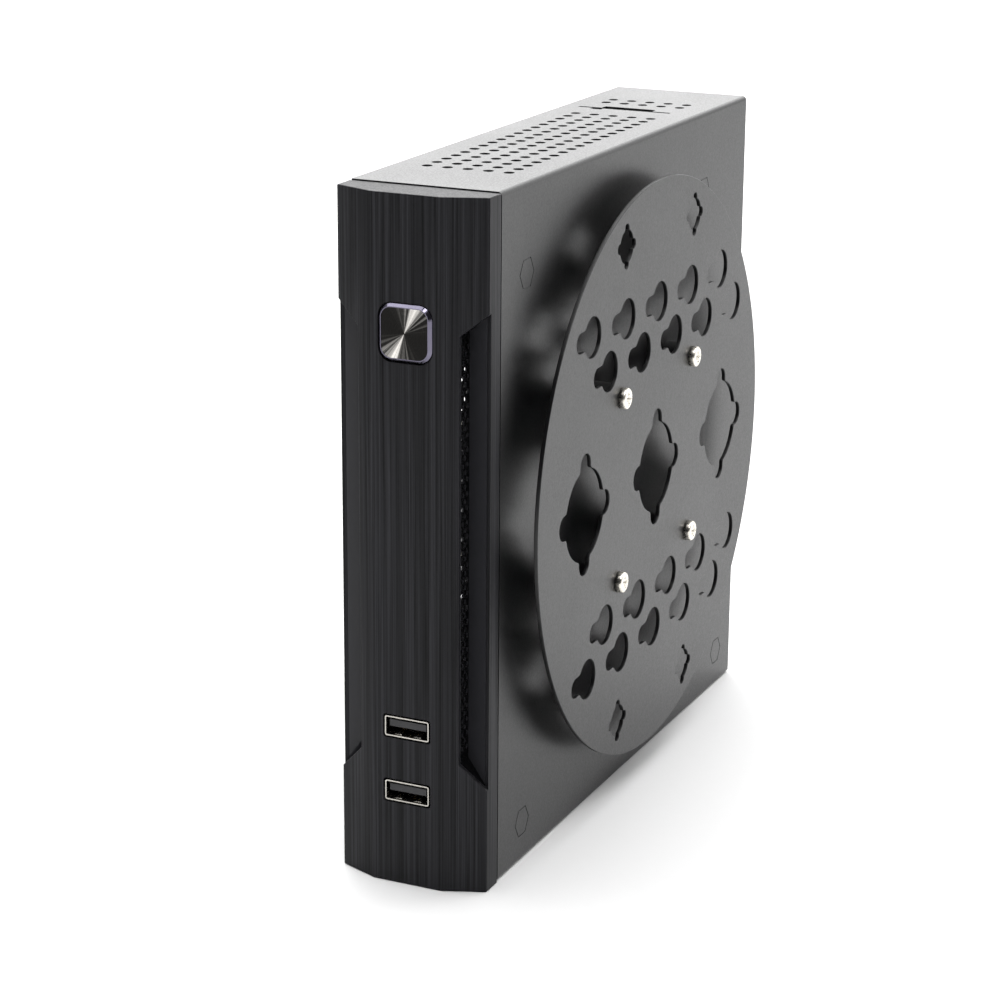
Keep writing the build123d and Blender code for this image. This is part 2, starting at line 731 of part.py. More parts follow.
def front_bezel():
    """Faceted hollow front with notches, button hole and USB cut-outs."""
    body = along_z(bezel_outline(0), 0, BEZEL_TOP_Z)
    rim = body.edges().filter_by(Axis.Z, reverse=True)
    rim = rim.filter_by(lambda e: e.center().Y < BEZEL_BACK_Y - BEZEL_EDGE / 2)
    body = fillet(rim, BEZEL_EDGE)
    top = BEZEL_TOP_Z - BEZEL_WALL
    hollow = along_z(bezel_outline(BEZEL_WALL), BEZEL_WALL, top)
    half = BEZEL_WIDTH / 2 - BEZEL_WALL
    back = BEZEL_BACK_Y - BEZEL_WALL - OVERCUT
    mouth = block(-half, half, back, BEZEL_BACK_Y + OVERCUT, BEZEL_WALL, top)
    bezel = body - hollow - mouth
    notch = notch_body(0)
    bezel = bezel - notch - mirror(notch, Plane.YZ)
    hole_side = BUTTON_SIZE + 2 * BUTTON_GAP
    hole = Pos(0, BUTTON_Z) * RectangleRounded(hole_side, hole_side, BUTTON_CORNER + BUTTON_GAP)
    deep = (BEZEL_FACE_Y - OVERCUT, BEZEL_FACE_Y + BEZEL_WALL + OVERCUT)
    cut_w = USB_WIDTH + 2 * USB_CUT_MARGIN
    cut_h = USB_HEIGHT + 2 * USB_CUT_MARGIN
    cuts = [along_y(Pos(0, z) * RectangleRounded(cut_w, cut_h, USB_CUT_CORNER), *deep) for z in USB_HOLES_Z]
    clips = [bezel_clip(side, z) for side, z in clip_points()]
    return bezel + clips - along_y(hole, *deep) - cuts


def notch_liner():
    """Thin sheet that lines the right-hand notch, perforated on its inner wall."""
    room = along_z(bezel_outline(BEZEL_WALL), BEZEL_WALL, BEZEL_TOP_Z - BEZEL_WALL)
    liner = (notch_body(LINER_SHEET) - notch_body(0)) & room
    holes = []
    x0 = NOTCH_WALL_X - LINER_SHEET - OVERCUT
    x1 = NOTCH_WALL_X + OVERCUT
    length = NOTCH_TOP_Z - NOTCH_BOTTOM_Z
    count = int(length / GRILLE_PITCH)
    margin = (length - (count - 1) * GRILLE_PITCH) / 2
    for column in range(GRILLE_COLUMNS):
        y = FRONT_Y - GRILLE_FIRST_DEPTH + column * GRILLE_STAGGER
        odd = column % 2
        start = NOTCH_BOTTOM_Z + margin + odd * GRILLE_PITCH / 2
        for row in range(count - odd):
            holes.append(rod_x(GRILLE_HOLE_D, x0, x1, y, start + row * GRILLE_PITCH))
    return liner - holes


# ---- power button and switch ----


def button_square(size, corner):
    """A rounded square about the button's centre, in (X, Z)."""
    return Pos(0, BUTTON_Z) * RectangleRounded(size, size, corner)


def power_button_cap():
    """Metal cap with a bevelled edge and a shallow spun face."""
    face_y = BEZEL_FACE_Y - BUTTON_PROUD
    cap = along_y(button_square(BUTTON_SIZE, BUTTON_CORNER), face_y, face_y + BUTTON_CAP_THICK)
    cap = chamfer(cap.faces().sort_by(Axis.Y)[0].edges(), BUTTON_CHAMFER)
    dish_side = BUTTON_SIZE - 2 * BUTTON_CHAMFER - DISH_MARGIN
    dish_shape = button_square(dish_side, BUTTON_CORNER - DISH_CORNER_LESS)
    dish = along_y(dish_shape, face_y - OVERCUT, face_y + DISH_DEPTH)
    return cap - dish


def button_plunger():
    """Plastic carrier behind the cap: neck, stop flange and stem."""
    y0 = cap_back_y()
    y2 = flange_back_y()
    y1 = y2 - FLANGE_THICK
    y3 = FRAME_BACK_Y + STEM_BEHIND_FRAME
    neck = along_y(button_square(BUTTON_SIZE - NECK_LESS, BUTTON_CORNER - NECK_LESS / 2), y0, y1)
    flange = along_y(button_square(FLANGE_SIZE, BUTTON_CORNER), y1, y2)
    stem = rod_y(STEM_D, y2, y3, 0, BUTTON_Z)
    return neck + flange + stem


def cap_back_y():
    """The back of the metal cap, where its plastic carrier starts."""
    return BEZEL_FACE_Y - BUTTON_PROUD + BUTTON_CAP_THICK


def flange_back_y():
    """The plane where the return spring meets the button's flange."""
    return max(BEZEL_FACE_Y + BEZEL_WALL + BODY_GAP, cap_back_y() + NECK_MIN) + FLANGE_THICK


def button_spring():
    """Coil spring round the stem, between the flange and the front frame."""
    start = flange_back_y() + SPRING_WIRE / 2
    length = FRONT_Y - SPRING_WIRE / 2 - start
    radius = (SPRING_D - SPRING_WIRE) / 2
    coil = Helix(pitch=length / SPRING_TURNS, height=length, radius=radius)
    wire = sweep(Plane(coil @ 0, z_dir=coil % 0) * Circle(SPRING_WIRE / 2), path=coil)
    return Pos(0, start, BUTTON_Z) * (Rot(-90, 0, 0) * wire)


def switch_face_y():
    """The front of the switch body, with its actuator a gap behind the stem."""
    return FRAME_BACK_Y + STEM_BEHIND_FRAME + BODY_GAP + ACTUATOR_PROUD


def power_switch():
    """Body of the push switch, bored for its actuator."""
    y0 = switch_face_y()
    half = SWITCH_SIZE / 2
    body = block(-half, half, y0, y0 + SWITCH_THICK, BUTTON_Z - half, BUTTON_Z + half)
    bore_end = y0 + ACTUATOR_HIDDEN + BUTTON_TRAVEL + ACTUATOR_END_GAP
    bore = rod_y(ACTUATOR_D + 2 * ACTUATOR_CLEARANCE, y0 - OVERCUT, bore_end, 0, BUTTON_Z)
    return body - bore


def switch_actuator():
    """The pin that the button's stem pushes into the switch."""
    y0 = switch_face_y()
    return rod_y(ACTUATOR_D, y0 - ACTUATOR_PROUD, y0 + ACTUATOR_HIDDEN, 0, BUTTON_Z)


def switch_post_heights():
    """Heights of the two posts that carry the switch board."""
    return (BUTTON_Z - SWITCH_POST_SPACING / 2, BUTTON_Z + SWITCH_POST_SPACING / 2)


def switch_board():
    """Small board that carries the push switch."""
    y0 = switch_face_y() + SWITCH_THICK
    half = SWITCH_BOARD_WIDTH / 2
    z0 = BUTTON_Z - SWITCH_BOARD_HEIGHT / 2
    board = block(-half, half, y0, y0 + SMALL_BOARD, z0, z0 + SWITCH_BOARD_HEIGHT)
    deep = (y0 - OVERCUT, y0 + SMALL_BOARD + OVERCUT)
    holes = [rod_y(POST_HOLE_D, *deep, 0, z) for z in switch_post_heights()]
    return board - holes


def switch_posts():
    """Two posts from the front frame to the switch board, with their screws."""
    end = switch_face_y() + SWITCH_THICK
    under_head = end + SMALL_BOARD + BORE_GAP
    posts = []
    for z in switch_post_heights():
        post = rod_y(SWITCH_POST_D, FRAME_BACK_Y, end, 0, z)
        screw = rod_y(POST_SCREW_D, end, under_head, 0, z)
        head = rod_y(POST_HEAD_D, under_head, under_head + POST_HEAD_HEIGHT, 0, z)
        posts.append(post + screw + head)
    return group(posts)


# ---- front USB sockets ----


def io_screw_heights():
    """Heights of the two screws that hold the front port board."""
    low = USB_LOWER_Z - IO_BOARD_MARGIN_Z + IO_SCREW_INSET
    high = USB_UPPER_Z + IO_BOARD_MARGIN_Z - IO_SCREW_INSET
    return (low, high)


def front_io_board():
    """Board behind the front frame that carries both USB sockets."""
    half = IO_BOARD_WIDTH / 2
    low = USB_LOWER_Z - IO_BOARD_MARGIN_Z
    high = USB_UPPER_Z + IO_BOARD_MARGIN_Z
    board = block(-half, half, FRAME_BACK_Y, FRAME_BACK_Y + SMALL_BOARD, low, high)
    back = FRAME_BACK_Y + SMALL_BOARD
    deep = (FRONT_Y, back + OVERCUT)
    holes = [rod_y(M3_TAP + M3_CLEARANCE, *deep, 0, z) for z in io_screw_heights()]
    plug_z = (USB_UPPER_Z + USB_LOWER_Z) / 2
    width, depth, height = IO_HEADER
    header_z = (plug_z - height / 2, plug_z + height / 2)
    header = block(-width / 2, width / 2, back, back + depth, *header_z)
    return board - holes + header


def io_board_screws():
    """Two screws from behind the port board into the front frame."""
    back = FRAME_BACK_Y + SMALL_BOARD
    screws = []
    for z in io_screw_heights():
        head = rod_y(IO_SCREW_HEAD_D, back, back + IO_SCREW_HEAD_HEIGHT, 0, z)
        screws.append(head + rod_y(M3_TAP, FRONT_Y, back, 0, z))
    return group(screws)


def usb_face_y():
    """The mouth of the front sockets, just behind the bezel's face."""
    return BEZEL_FACE_Y + USB_RECESS


def usb_shell(z):
    """Folded shell of one socket, open at the front, closed at the board."""
    outer = Pos(0, z) * RectangleRounded(USB_WIDTH, USB_HEIGHT, USB_CORNER_OUT)
    inner_w = USB_WIDTH - 2 * USB_SHEET
    inner_h = USB_HEIGHT - 2 * USB_SHEET
    inner = Pos(0, z) * RectangleRounded(inner_w, inner_h, USB_CORNER_IN)
    shell = along_y(outer, usb_face_y(), FRAME_BACK_Y)
    return shell - along_y(inner, usb_face_y() - OVERCUT, FRAME_BACK_Y - USB_BACK_WALL)


def tongue_low_z(z):
    """The underside of a socket's tongue."""
    return z + USB_HEIGHT / 2 - USB_SHEET - USB_TONGUE_SET - USB_TONGUE_THICK


def usb_tongue(z):
    """Plastic tongue and back block of one socket."""
    low = tongue_low_z(z)
    half = USB_TONGUE_WIDTH / 2
    back = FRAME_BACK_Y - USB_BACK_WALL
    y0 = usb_face_y() + USB_TONGUE_RECESS
    tongue = block(-half, half, y0, back, low, low + USB_TONGUE_THICK)
    inner_w = USB_WIDTH / 2 - USB_SHEET - BORE_GAP
    inner_h = USB_HEIGHT / 2 - USB_SHEET - BORE_GAP
    start = back - USB_BACK_BLOCK
    return tongue + block(-inner_w, inner_w, start, back, z - inner_h, z + inner_h)


def usb_contacts():
    """Four spring contacts under each tongue."""
    contacts = []
    half = USB_CONTACT_WIDTH / 2
    y0 = usb_face_y() + USB_TONGUE_RECESS + USB_CONTACT_SET
    y1 = FRAME_BACK_Y - USB_BACK_WALL - USB_BACK_BLOCK
    for z in USB_HOLES_Z:
        top = tongue_low_z(z)
        for n in range(USB_CONTACTS):
            x = (n - (USB_CONTACTS - 1) / 2) * USB_CONTACT_PITCH
            contacts.append(block(x - half, x + half, y0, y1, top - USB_CONTACT_THICK, top))
    return group(contacts)


# ---- motherboard and what stands on it ----


def motherboard():
    """Square circuit board with four fixing holes."""
    board = block(
        BOARD_FACE_X, BOARD_BACK_X, BOARD_FRONT_Y, BOARD_REAR_Y, BOARD_BOTTOM_Z, BOARD_TOP_Z
    )
    x0 = BOARD_FACE_X - OVERCUT
    x1 = BOARD_BACK_X + OVERCUT
    return board - [rod_x(BOARD_HOLE_D, x0, x1, y, z) for y, z in standoff_points()]


def board_standoffs():
    """Four hexagonal standoffs pressed into the tray."""
    posts = []
    for y, z in standoff_points():
        body = along_x(Pos(y, z) * RegularPolygon(STANDOFF_D / 2, 6), BOARD_BACK_X, INNER_X)
        posts.append(body - rod_x(M3_TAP, BOARD_BACK_X - OVERCUT, INNER_X - STANDOFF_FLOOR, y, z))
    return group(posts)


def board_screws():
    """Four pan-head screws that hold the board."""
    screws = []
    for y, z in standoff_points():
        head_x = BOARD_FACE_X - BOARD_SCREW_HEAD_HEIGHT
        head = rod_x(BOARD_SCREW_HEAD_D, head_x, BOARD_FACE_X, y, z)
        screws.append(head + rod_x(M3_TAP, BOARD_FACE_X, BOARD_BACK_X + BOARD_SCREW_REACH, y, z))
    return group(screws)


def on_board(y0, y1, z0, z1, height):
    """A plain component that stands on the board's face."""
    return block(BOARD_FACE_X - height, BOARD_FACE_X, y0, y1, z0, z1)


def on_cooler_spot(width, tall, height):
    """A block on the board's face, centred under the cooler."""
    y = (COOLER_Y - width / 2, COOLER_Y + width / 2)
    z = (COOLER_Z - tall / 2, COOLER_Z + tall / 2)
    return on_board(*y, *z, height)


def processor():
    """Processor package under the cooler."""
    return on_cooler_spot(PROCESSOR_SIDE, PROCESSOR_SIDE, PROCESSOR_BASE) + on_cooler_spot(
        DIE_WIDTH, DIE_HEIGHT, PROCESSOR_THICK
    )


def heatsink():
    """Finned block on the processor."""
    half = COOLER_SIDE / 2
    ys = (COOLER_Y - half, COOLER_Y + half)
    base_x = SINK_BACK_X - SINK_BASE
    base = block(base_x, SINK_BACK_X, *ys, COOLER_Z - half, COOLER_Z + half)
    pitch = (COOLER_SIDE - SINK_FIN_THICK) / (SINK_FINS - 1)
    for n in range(SINK_FINS):
        z0 = COOLER_Z - half + n * pitch
        base += block(SINK_TOP_X, base_x, *ys, z0, z0 + SINK_FIN_THICK)
    holes = [
        rod_x(M3, SINK_TOP_X - OVERCUT, SINK_BACK_X + OVERCUT, y, z)
        for y, z in square_points(FAN_SCREW_PITCH, COOLER_Y, COOLER_Z)
    ]
    return base - holes


def fan_frame():
    """Square fan housing with a spoked hub that carries the bearing."""
    square = Pos(COOLER_Y, COOLER_Z) * RectangleRounded(COOLER_SIDE, COOLER_SIDE, FAN_CORNER)
    bore = Pos(COOLER_Y, COOLER_Z) * Circle(FAN_BORE_D / 2)
    housing = along_x(square - bore, FAN_FACE_X, FAN_BACK_X)
    x0 = FAN_BACK_X - FAN_SPOKE_THICK
    hub = rod_x(FAN_HUB_D, x0, FAN_BACK_X, COOLER_Y, COOLER_Z)
    for turn in (0, 90):
        bar = Rectangle(FAN_BORE_D + OVERCUT, FAN_SPOKE)
        hub += along_x(Pos(COOLER_Y, COOLER_Z) * (Rot(0, 0, turn) * bar), x0, FAN_BACK_X)
    post_x = x0 - FAN_POST_LENGTH
    post = rod_x(SHAFT_D + 2 * FAN_POST_WALL, post_x, x0, COOLER_Y, COOLER_Z)
    bearing_d = SHAFT_D + 2 * SHAFT_CLEARANCE
    bearing = rod_x(bearing_d, post_x - OVERCUT, FAN_BACK_X - FAN_CUP_GAP, COOLER_Y, COOLER_Z)
    holes = [
        rod_x(FAN_HOLE_D, FAN_FACE_X - OVERCUT, FAN_BACK_X + OVERCUT, y, z)
        for y, z in square_points(FAN_SCREW_PITCH, COOLER_Y, COOLER_Z)
    ]
    return housing + hub + post - bearing - holes


def fan_blade():
    """One pitched blade in the fan's own frame, standing out along the local X."""
    inner = FAN_HUB_D / 2 - BLADE_ROOT
    outer = FAN_BORE_D / 2 - FAN_TIP_GAP
    middle = (Align.MIN, Align.CENTER, Align.CENTER)
    blade = Box(outer - inner, BLADE_CHORD, BLADE_THICK, align=middle)
    swept = Pos(inner, 0, 0) * (Rot(BLADE_PITCH, 0, 0) * blade)
    return swept & (Cylinder(outer, FAN_THICK) - Cylinder(inner, FAN_THICK))


def fan_rotor():
    """Hub cup, pitched blades and shaft."""
    x0 = FAN_FACE_X + FAN_FACE_SET
    x1 = FAN_BACK_X - FAN_SPOKE_THICK - FAN_CUP_GAP
    cup = rod_x(FAN_HUB_D, x0, x1, COOLER_Y, COOLER_Z)
    room = (x0 + FAN_CUP_WALL, x1 + OVERCUT)
    cup -= rod_x(FAN_HUB_D - 2 * FAN_CUP_WALL, *room, COOLER_Y, COOLER_Z)
    shaft_end = FAN_BACK_X - FAN_CUP_GAP - SHAFT_END_GAP
    shaft = rod_x(SHAFT_D, x0 + FAN_CUP_WALL / 2, shaft_end, COOLER_Y, COOLER_Z)
    middle = Pos((x0 + x1) / 2, COOLER_Y, COOLER_Z)
    facing = Rot(0, 90, 0)
    rotor = cup + shaft
    for n in range(FAN_BLADES):
        rotor += middle * (facing * (Rot(0, 0, n * 360 / FAN_BLADES) * fan_blade()))
    return rotor


def fan_screws():
    """Four screws through the fan into the heatsink."""
    screws = []
    for y, z in square_points(FAN_SCREW_PITCH, COOLER_Y, COOLER_Z):
        head = rod_x(FAN_SCREW_HEAD_D, FAN_FACE_X - FAN_SCREW_HEAD_HEIGHT, FAN_FACE_X, y, z)
        screws.append(head + rod_x(FAN_SCREW_D, FAN_FACE_X, SINK_TOP_X + FAN_SCREW_REACH, y, z))
    return group(screws)


def memory_sockets():
    """Two low sockets for memory modules that lie flat over the board."""
    z0 = MEMORY_Z - MEMORY_LENGTH / 2
    z1 = MEMORY_Z + MEMORY_LENGTH / 2
    seat = MEMORY_SEAT + BORE_GAP
    sockets = []
    for n, height in enumerate(MEMORY_SOCKET_HEIGHTS):
        y0 = MEMORY_Y0 + n * MEMORY_PITCH
        ends = (z0 - MEMORY_SOCKET_END, z1 + MEMORY_SOCKET_END)
        body = on_board(y0, y0 + MEMORY_SOCKET_DEPTH, *ends, height)
        mouth_x = BOARD_FACE_X - height + MEMORY_SLOT
        slot = block(mouth_x, mouth_x + MEMORY_SLOT, y0 - OVERCUT, y0 + seat, z0, z1)
        sockets.append(body - slot)
    return group(sockets)


def memory_module(n):
    """One memory module, flat over the board, with its chips."""
    x0 = BOARD_FACE_X - MEMORY_SOCKET_HEIGHTS[n] + MEMORY_SLOT + BORE_GAP
    y1 = MEMORY_Y0 + n * MEMORY_PITCH + MEMORY_SEAT
    z0 = MEMORY_Z - MEMORY_LENGTH / 2
    board = block(x0, x0 + MEMORY_BOARD, y1 - MEMORY_SPAN, y1, z0, z0 + MEMORY_LENGTH)
    width, height, thick = MEMORY_CHIP
    chip_y = y1 - MEMORY_SPAN / 2
    for i in range(4):
        z = MEMORY_Z + (i - 1.5) * MEMORY_CHIP_PITCH
        ys = (chip_y - width / 2, chip_y + width / 2)
        board += block(x0 - thick, x0, *ys, z - height / 2, z + height / 2)
    return board


def card_socket(z_range, lift):
    """Socket of a flat card, with the slot that the card's end sits in."""
    z0, z1 = z_range
    seat_y = CARD_END_Y - CARD_SEAT
    top = lift + CARD_SHEET + CARD_FIT
    ends = (z0 - CARD_SOCKET_MARGIN, z1 + CARD_SOCKET_MARGIN)
    socket = on_board(seat_y, seat_y + CARD_SOCKET, *ends, top + CARD_SHEET)
    low = BOARD_FACE_X - top
    high = BOARD_FACE_X - lift + CARD_FIT
    slot = block(low, high, seat_y - OVERCUT, CARD_END_Y + CARD_FIT, z0 - CARD_FIT, z1 + CARD_FIT)
    return socket - slot


def flat_card(z_range, length, lift):
    """A flat card over the board, its end in its socket."""
    x1 = BOARD_FACE_X - lift
    return block(x1 - CARD_SHEET, x1, CARD_END_Y - length, CARD_END_Y, *z_range)


def card_chip(y0, y1, z_range, lift, thick):
    """A chip or can on the outer face of a flat card."""
    x1 = BOARD_FACE_X - lift - CARD_SHEET
    inset = 2 * CARD_SOCKET_MARGIN
    return block(x1 - thick, x1, y0, y1, z_range[0] + inset, z_range[1] - inset)


def solid_state_card():
    """M.2 drive card in its socket."""
    card = flat_card(STORAGE_CARD_Z, STORAGE_CARD_LENGTH, STORAGE_CARD_LIFT)
    for y in STORAGE_CHIPS_Y:
        card += card_chip(y, y + STORAGE_CHIP_LENGTH, STORAGE_CARD_Z, STORAGE_CARD_LIFT, CARD_CHIP)
    return group([card, card_socket(STORAGE_CARD_Z, STORAGE_CARD_LIFT)])


def wireless_card():
    """Radio card beside the processor, in its socket."""
    card = flat_card(RADIO_CARD_Z, RADIO_CARD_LENGTH, RADIO_CARD_LIFT)
    card += card_chip(*RADIO_CAN_Y, RADIO_CARD_Z, RADIO_CARD_LIFT, 2 * CARD_SHEET)
    return group([card, card_socket(RADIO_CARD_Z, RADIO_CARD_LIFT)])


def board_chokes():
    """Row of power chokes above the processor."""
    ys = [CHOKE_Y + CHOKE_PITCH * n for n in range(CHOKE_COUNT)]
    top = CHOKE_Z + CHOKE_SIDE
    return group(on_board(y, y + CHOKE_SIDE, CHOKE_Z, top, CHOKE_HEIGHT) for y in ys)


def board_chips():
    """Controller chips on the board."""
    return group(on_board(*ys, *zs, height) for ys, zs, height in CHIP_SPOTS)


def coin_cell():
    """Clock battery lying in its holder."""
    holder = rod_x(HOLDER_D, BOARD_FACE_X - HOLDER_TOP, BOARD_FACE_X, CELL_Y, CELL_Z)
    span = (BOARD_FACE_X - CELL_TOP, BOARD_FACE_X - CELL_FLOOR)
    holder -= rod_x(CELL_D + 2 * BORE_GAP, *span, CELL_Y, CELL_Z)
    return group([holder, rod_x(CELL_D, *span, CELL_Y, CELL_Z)])


# ---- drive ----


def drive_box():
    """Corners of the drive: x0, x1, y0, y1, z0, z1."""
    x0 = COVER_INNER_X + DRIVE_COVER_GAP
    y1 = REAR_PANEL_Y - SHEET - DRIVE_REAR_GAP
    z1 = CASE_HEIGHT - SHEET - DRIVE_TOP_GAP
    return (x0, x0 + DRIVE_THICK, y1 - DRIVE_WIDTH, y1, z1 - DRIVE_LENGTH, z1)


def drive():
    """2.5 inch drive, its case edges rounded."""
    x0, x1, y0, y1, z0, z1 = drive_box()
    body = block(x0, x1, y0, y1, z0, z1)
    body = fillet(body.edges().filter_by(Axis.X), DRIVE_CORNER)
    ys = (y0 + DRIVE_PLUG_Y[0], y0 + DRIVE_PLUG_Y[1])
    recess = (z0 - OVERCUT, z0 + DRIVE_PLUG_DEPTH)
    return body - block(x0 + DRIVE_CORNER, x1 - DRIVE_CORNER, *ys, *recess)


def drive_screw_points():
    """Four fixing points under the drive, as (y, z)."""
    _, _, y0, y1, z0, z1 = drive_box()
    ys = (y0 + DRIVE_HOLE_SIDE, y1 - DRIVE_HOLE_SIDE)
    zs = (z0 + DRIVE_HOLE_LOW, z1 - DRIVE_HOLE_HIGH)
    return [(y, z) for y in ys for z in zs]


def drive_bracket():
    """Plated tray under the drive, with a top flange whose tab lies in the window."""
    x0, x1, y0, y1, z0, z1 = drive_box()
    under = z1 + DRIVE_TOP_GAP - BRACKET_TOP_GAP
    ys = (y0 - BRACKET_MARGIN, y1 + BRACKET_MARGIN)
    deep = (x1 - OVERCUT, x1 + SHEET + OVERCUT)
    plate = block(x1, x1 + SHEET, *ys, z0 - BRACKET_MARGIN, under)
    window_z = (z0 + BRACKET_WINDOW_LOW, z1 - BRACKET_WINDOW_HIGH)
    window = block(*deep, y0 + BRACKET_WINDOW_SIDE, y1 - BRACKET_WINDOW_SIDE, *window_z)
    flange_y0 = SLOT_Y + WINDOW_DEPTH + TAB_EDGE_GAP
    flange_y1 = min(flange_y0 + BRACKET_FLANGE_WIDTH, ys[1])
    flange = block(x1, TAB_X[1], flange_y0, flange_y1, under - SHEET, under)
    tab = block(*TAB_X, flange_y0 - TAB_REACH, flange_y0, under - SHEET, under)
    holes = [rod_x(M3 + M3_CLEARANCE, *deep, y, z) for y, z in drive_screw_points()]
    return plate + flange + tab - window - holes


def drive_screws():
    """Four flat screws through the bracket into the drive."""
    _, x1, _, _, _, _ = drive_box()
    screws = []
    for y, z in drive_screw_points():
        head = rod_x(DRIVE_HEAD_D, x1 + SHEET, x1 + SHEET + DRIVE_HEAD_HEIGHT, y, z)
        screws.append(head + rod_x(M3, x1, x1 + SHEET, y, z))
    return group(screws)


# ---- rear ports ----


def port_middle_x(size):
    """The middle of a port that stands on the board's face."""
    return BOARD_FACE_X - size[1] / 2


def port_body(z, size, depth):
    """The outer block of one port, on the board's face, mouth to the rear."""
    half = size[0] / 2
    return block(BOARD_FACE_X - size[1], BOARD_FACE_X, MOUTH_Y - depth, MOUTH_Y, z - half, z + half)


def video_port(z, size):
    """A video socket: a shell with a rectangular mouth, and its tongue."""
    width, height = size
    back = MOUTH_Y - VIDEO_DEPTH + PORT_BACK_WALL
    half = width / 2 - VIDEO_WALL
    xs = (BOARD_FACE_X - height + VIDEO_WALL, BOARD_FACE_X - VIDEO_WALL)
    shell = port_body(z, size, VIDEO_DEPTH) - block(*xs, back, MOUTH_Y + OVERCUT, z - half, z + half)
    x0 = port_middle_x(size) - VIDEO_TONGUE / 2
    reach = half * VIDEO_TONGUE_SHARE
    tongue = block(x0, x0 + VIDEO_TONGUE, back, MOUTH_Y - VIDEO_TONGUE_SET, z - reach, z + reach)
    return group([shell, tongue])


def power_inlet():
    """Barrel power inlet with its centre pin."""
    x = port_middle_x(DC_SIZE)
    back = MOUTH_Y - DC_BORE_DEPTH
    body = port_body(DC_Z, DC_SIZE, DC_DEPTH) - rod_y(DC_BORE_D, back, MOUTH_Y + OVERCUT, x, DC_Z)
    return group([body, rod_y(DC_PIN_D, back, MOUTH_Y - DC_PIN_SET, x, DC_Z)])


def rear_usb_stack(z):
    """Two USB sockets one above the other in one shell, with their tongues."""
    width, height = STACK_SIZE
    body = port_body(z, STACK_SIZE, STACK_DEPTH)
    half = width / 2 - USB_SHEET
    tongue_half = half - STACK_TONGUE_MARGIN
    room = (height - 3 * USB_SHEET - STACK_MIDDLE) / 2
    back = MOUTH_Y - STACK_DEPTH + STACK_BACK_WALL
    solids = []
    for n in range(2):
        x0 = BOARD_FACE_X - height + USB_SHEET + n * (room + USB_SHEET + STACK_MIDDLE)
        body -= block(x0, x0 + room, back, MOUTH_Y + OVERCUT, z - half, z + half)
        x = x0 + room * STACK_TONGUE_SHARE
        front = MOUTH_Y - STACK_TONGUE_MARGIN
        solids.append(block(x, x + STACK_TONGUE, back, front, z - tongue_half, z + tongue_half))
    return group([body] + solids)


def lan_jack():
    """Network socket with a stepped mouth."""
    ys = (MOUTH_Y - LAN_HOLE_DEPTH, MOUTH_Y + OVERCUT)
    jack = port_body(LAN_Z, LAN_SIZE, LAN_DEPTH)
    for (near, far), width in ((LAN_HOLE_X, LAN_HOLE_WIDTH), (LAN_LATCH_X, LAN_LATCH_WIDTH)):
        xs = (BOARD_FACE_X - far, BOARD_FACE_X - near)
        jack -= block(*xs, *ys, LAN_Z - width / 2, LAN_Z + width / 2)
    return jack


def audio_jacks():
    """Two round audio sockets."""
    x = port_middle_x(AUDIO_SIZE)
    ys = (MOUTH_Y - AUDIO_BORE_DEPTH, MOUTH_Y + OVERCUT)
    return group(
        port_body(z, AUDIO_SIZE, AUDIO_DEPTH) - rod_y(AUDIO_BORE_D, *ys, x, z) for z in AUDIO_Z
    )


def port_cuts(margin):
    """What the shield leaves open round each port."""
    sizes = [
        (DC_Z, DC_SIZE),
        (HDMI_Z, HDMI_SIZE),
        (DISPLAY_Z, DISPLAY_SIZE),
        (USB_A_Z, STACK_SIZE),
        (LAN_Z, LAN_SIZE),
        (USB_B_Z, STACK_SIZE),
    ] + [(z, AUDIO_SIZE) for z in AUDIO_Z]
    cuts = []
    for z, (width, height) in sizes:
        x0 = BOARD_FACE_X - height - margin
        x1 = BOARD_FACE_X + margin
        half = width / 2 + margin
        ys = (MOUTH_Y - SHIELD_CUT_DEPTH, MOUTH_Y + OVERCUT)
        cuts.append(block(x0, x1, *ys, z - half, z + half))
    return cuts


def io_shield():
    """Thin plate behind the aperture, cut round every port."""
    y1 = REAR_PANEL_Y - SHEET
    x1 = BOARD_BACK_X + SHIELD_BELOW_BOARD + SHIELD_OVERLAP
    x0 = x1 - SHIELD_WIDTH - 2 * SHIELD_OVERLAP
    z0 = SHIELD_BOTTOM_Z - SHIELD_OVERLAP
    z1 = z0 + SHIELD_HEIGHT + 2 * SHIELD_OVERLAP
    return block(x0, x1, y1 - SHIELD_SHEET, y1, z0, z1) - port_cuts(PORT_GAP)


def antenna_jacks():
    """Two threaded antenna sockets with their nuts."""
    jacks = []
    nut_y = REAR_PANEL_Y + ANTENNA_NUT_THICK
    end_y = REAR_PANEL_Y + ANTENNA_PROUD
    for x in antenna_xs():
        barrel = rod_y(ANTENNA_D, REAR_PANEL_Y - ANTENNA_INSIDE, end_y, x, ANTENNA_Z)
        barrel -= rod_y(ANTENNA_BORE_D, nut_y, end_y + OVERCUT, x, ANTENNA_Z)
        nut = Pos(x, ANTENNA_Z) * RegularPolygon(ANTENNA_NUT_D / 2, 6)
        barrel += along_y(nut, REAR_PANEL_Y, nut_y)
        pin = rod_y(ANTENNA_PIN_D, nut_y, end_y - ANTENNA_PIN_END, x, ANTENNA_Z)
        jacks.append(barrel + pin)
    return group(jacks)


# ---- leads inside the case ----


def lead(diameter, bend, points):
    """A round lead along straight runs joined by tangent arcs."""
    path = FilletPolyline(*points, radius=bend)
    return sweep(Plane(path @ 0, z_dir=path % 0) * Circle(diameter / 2), path=path)


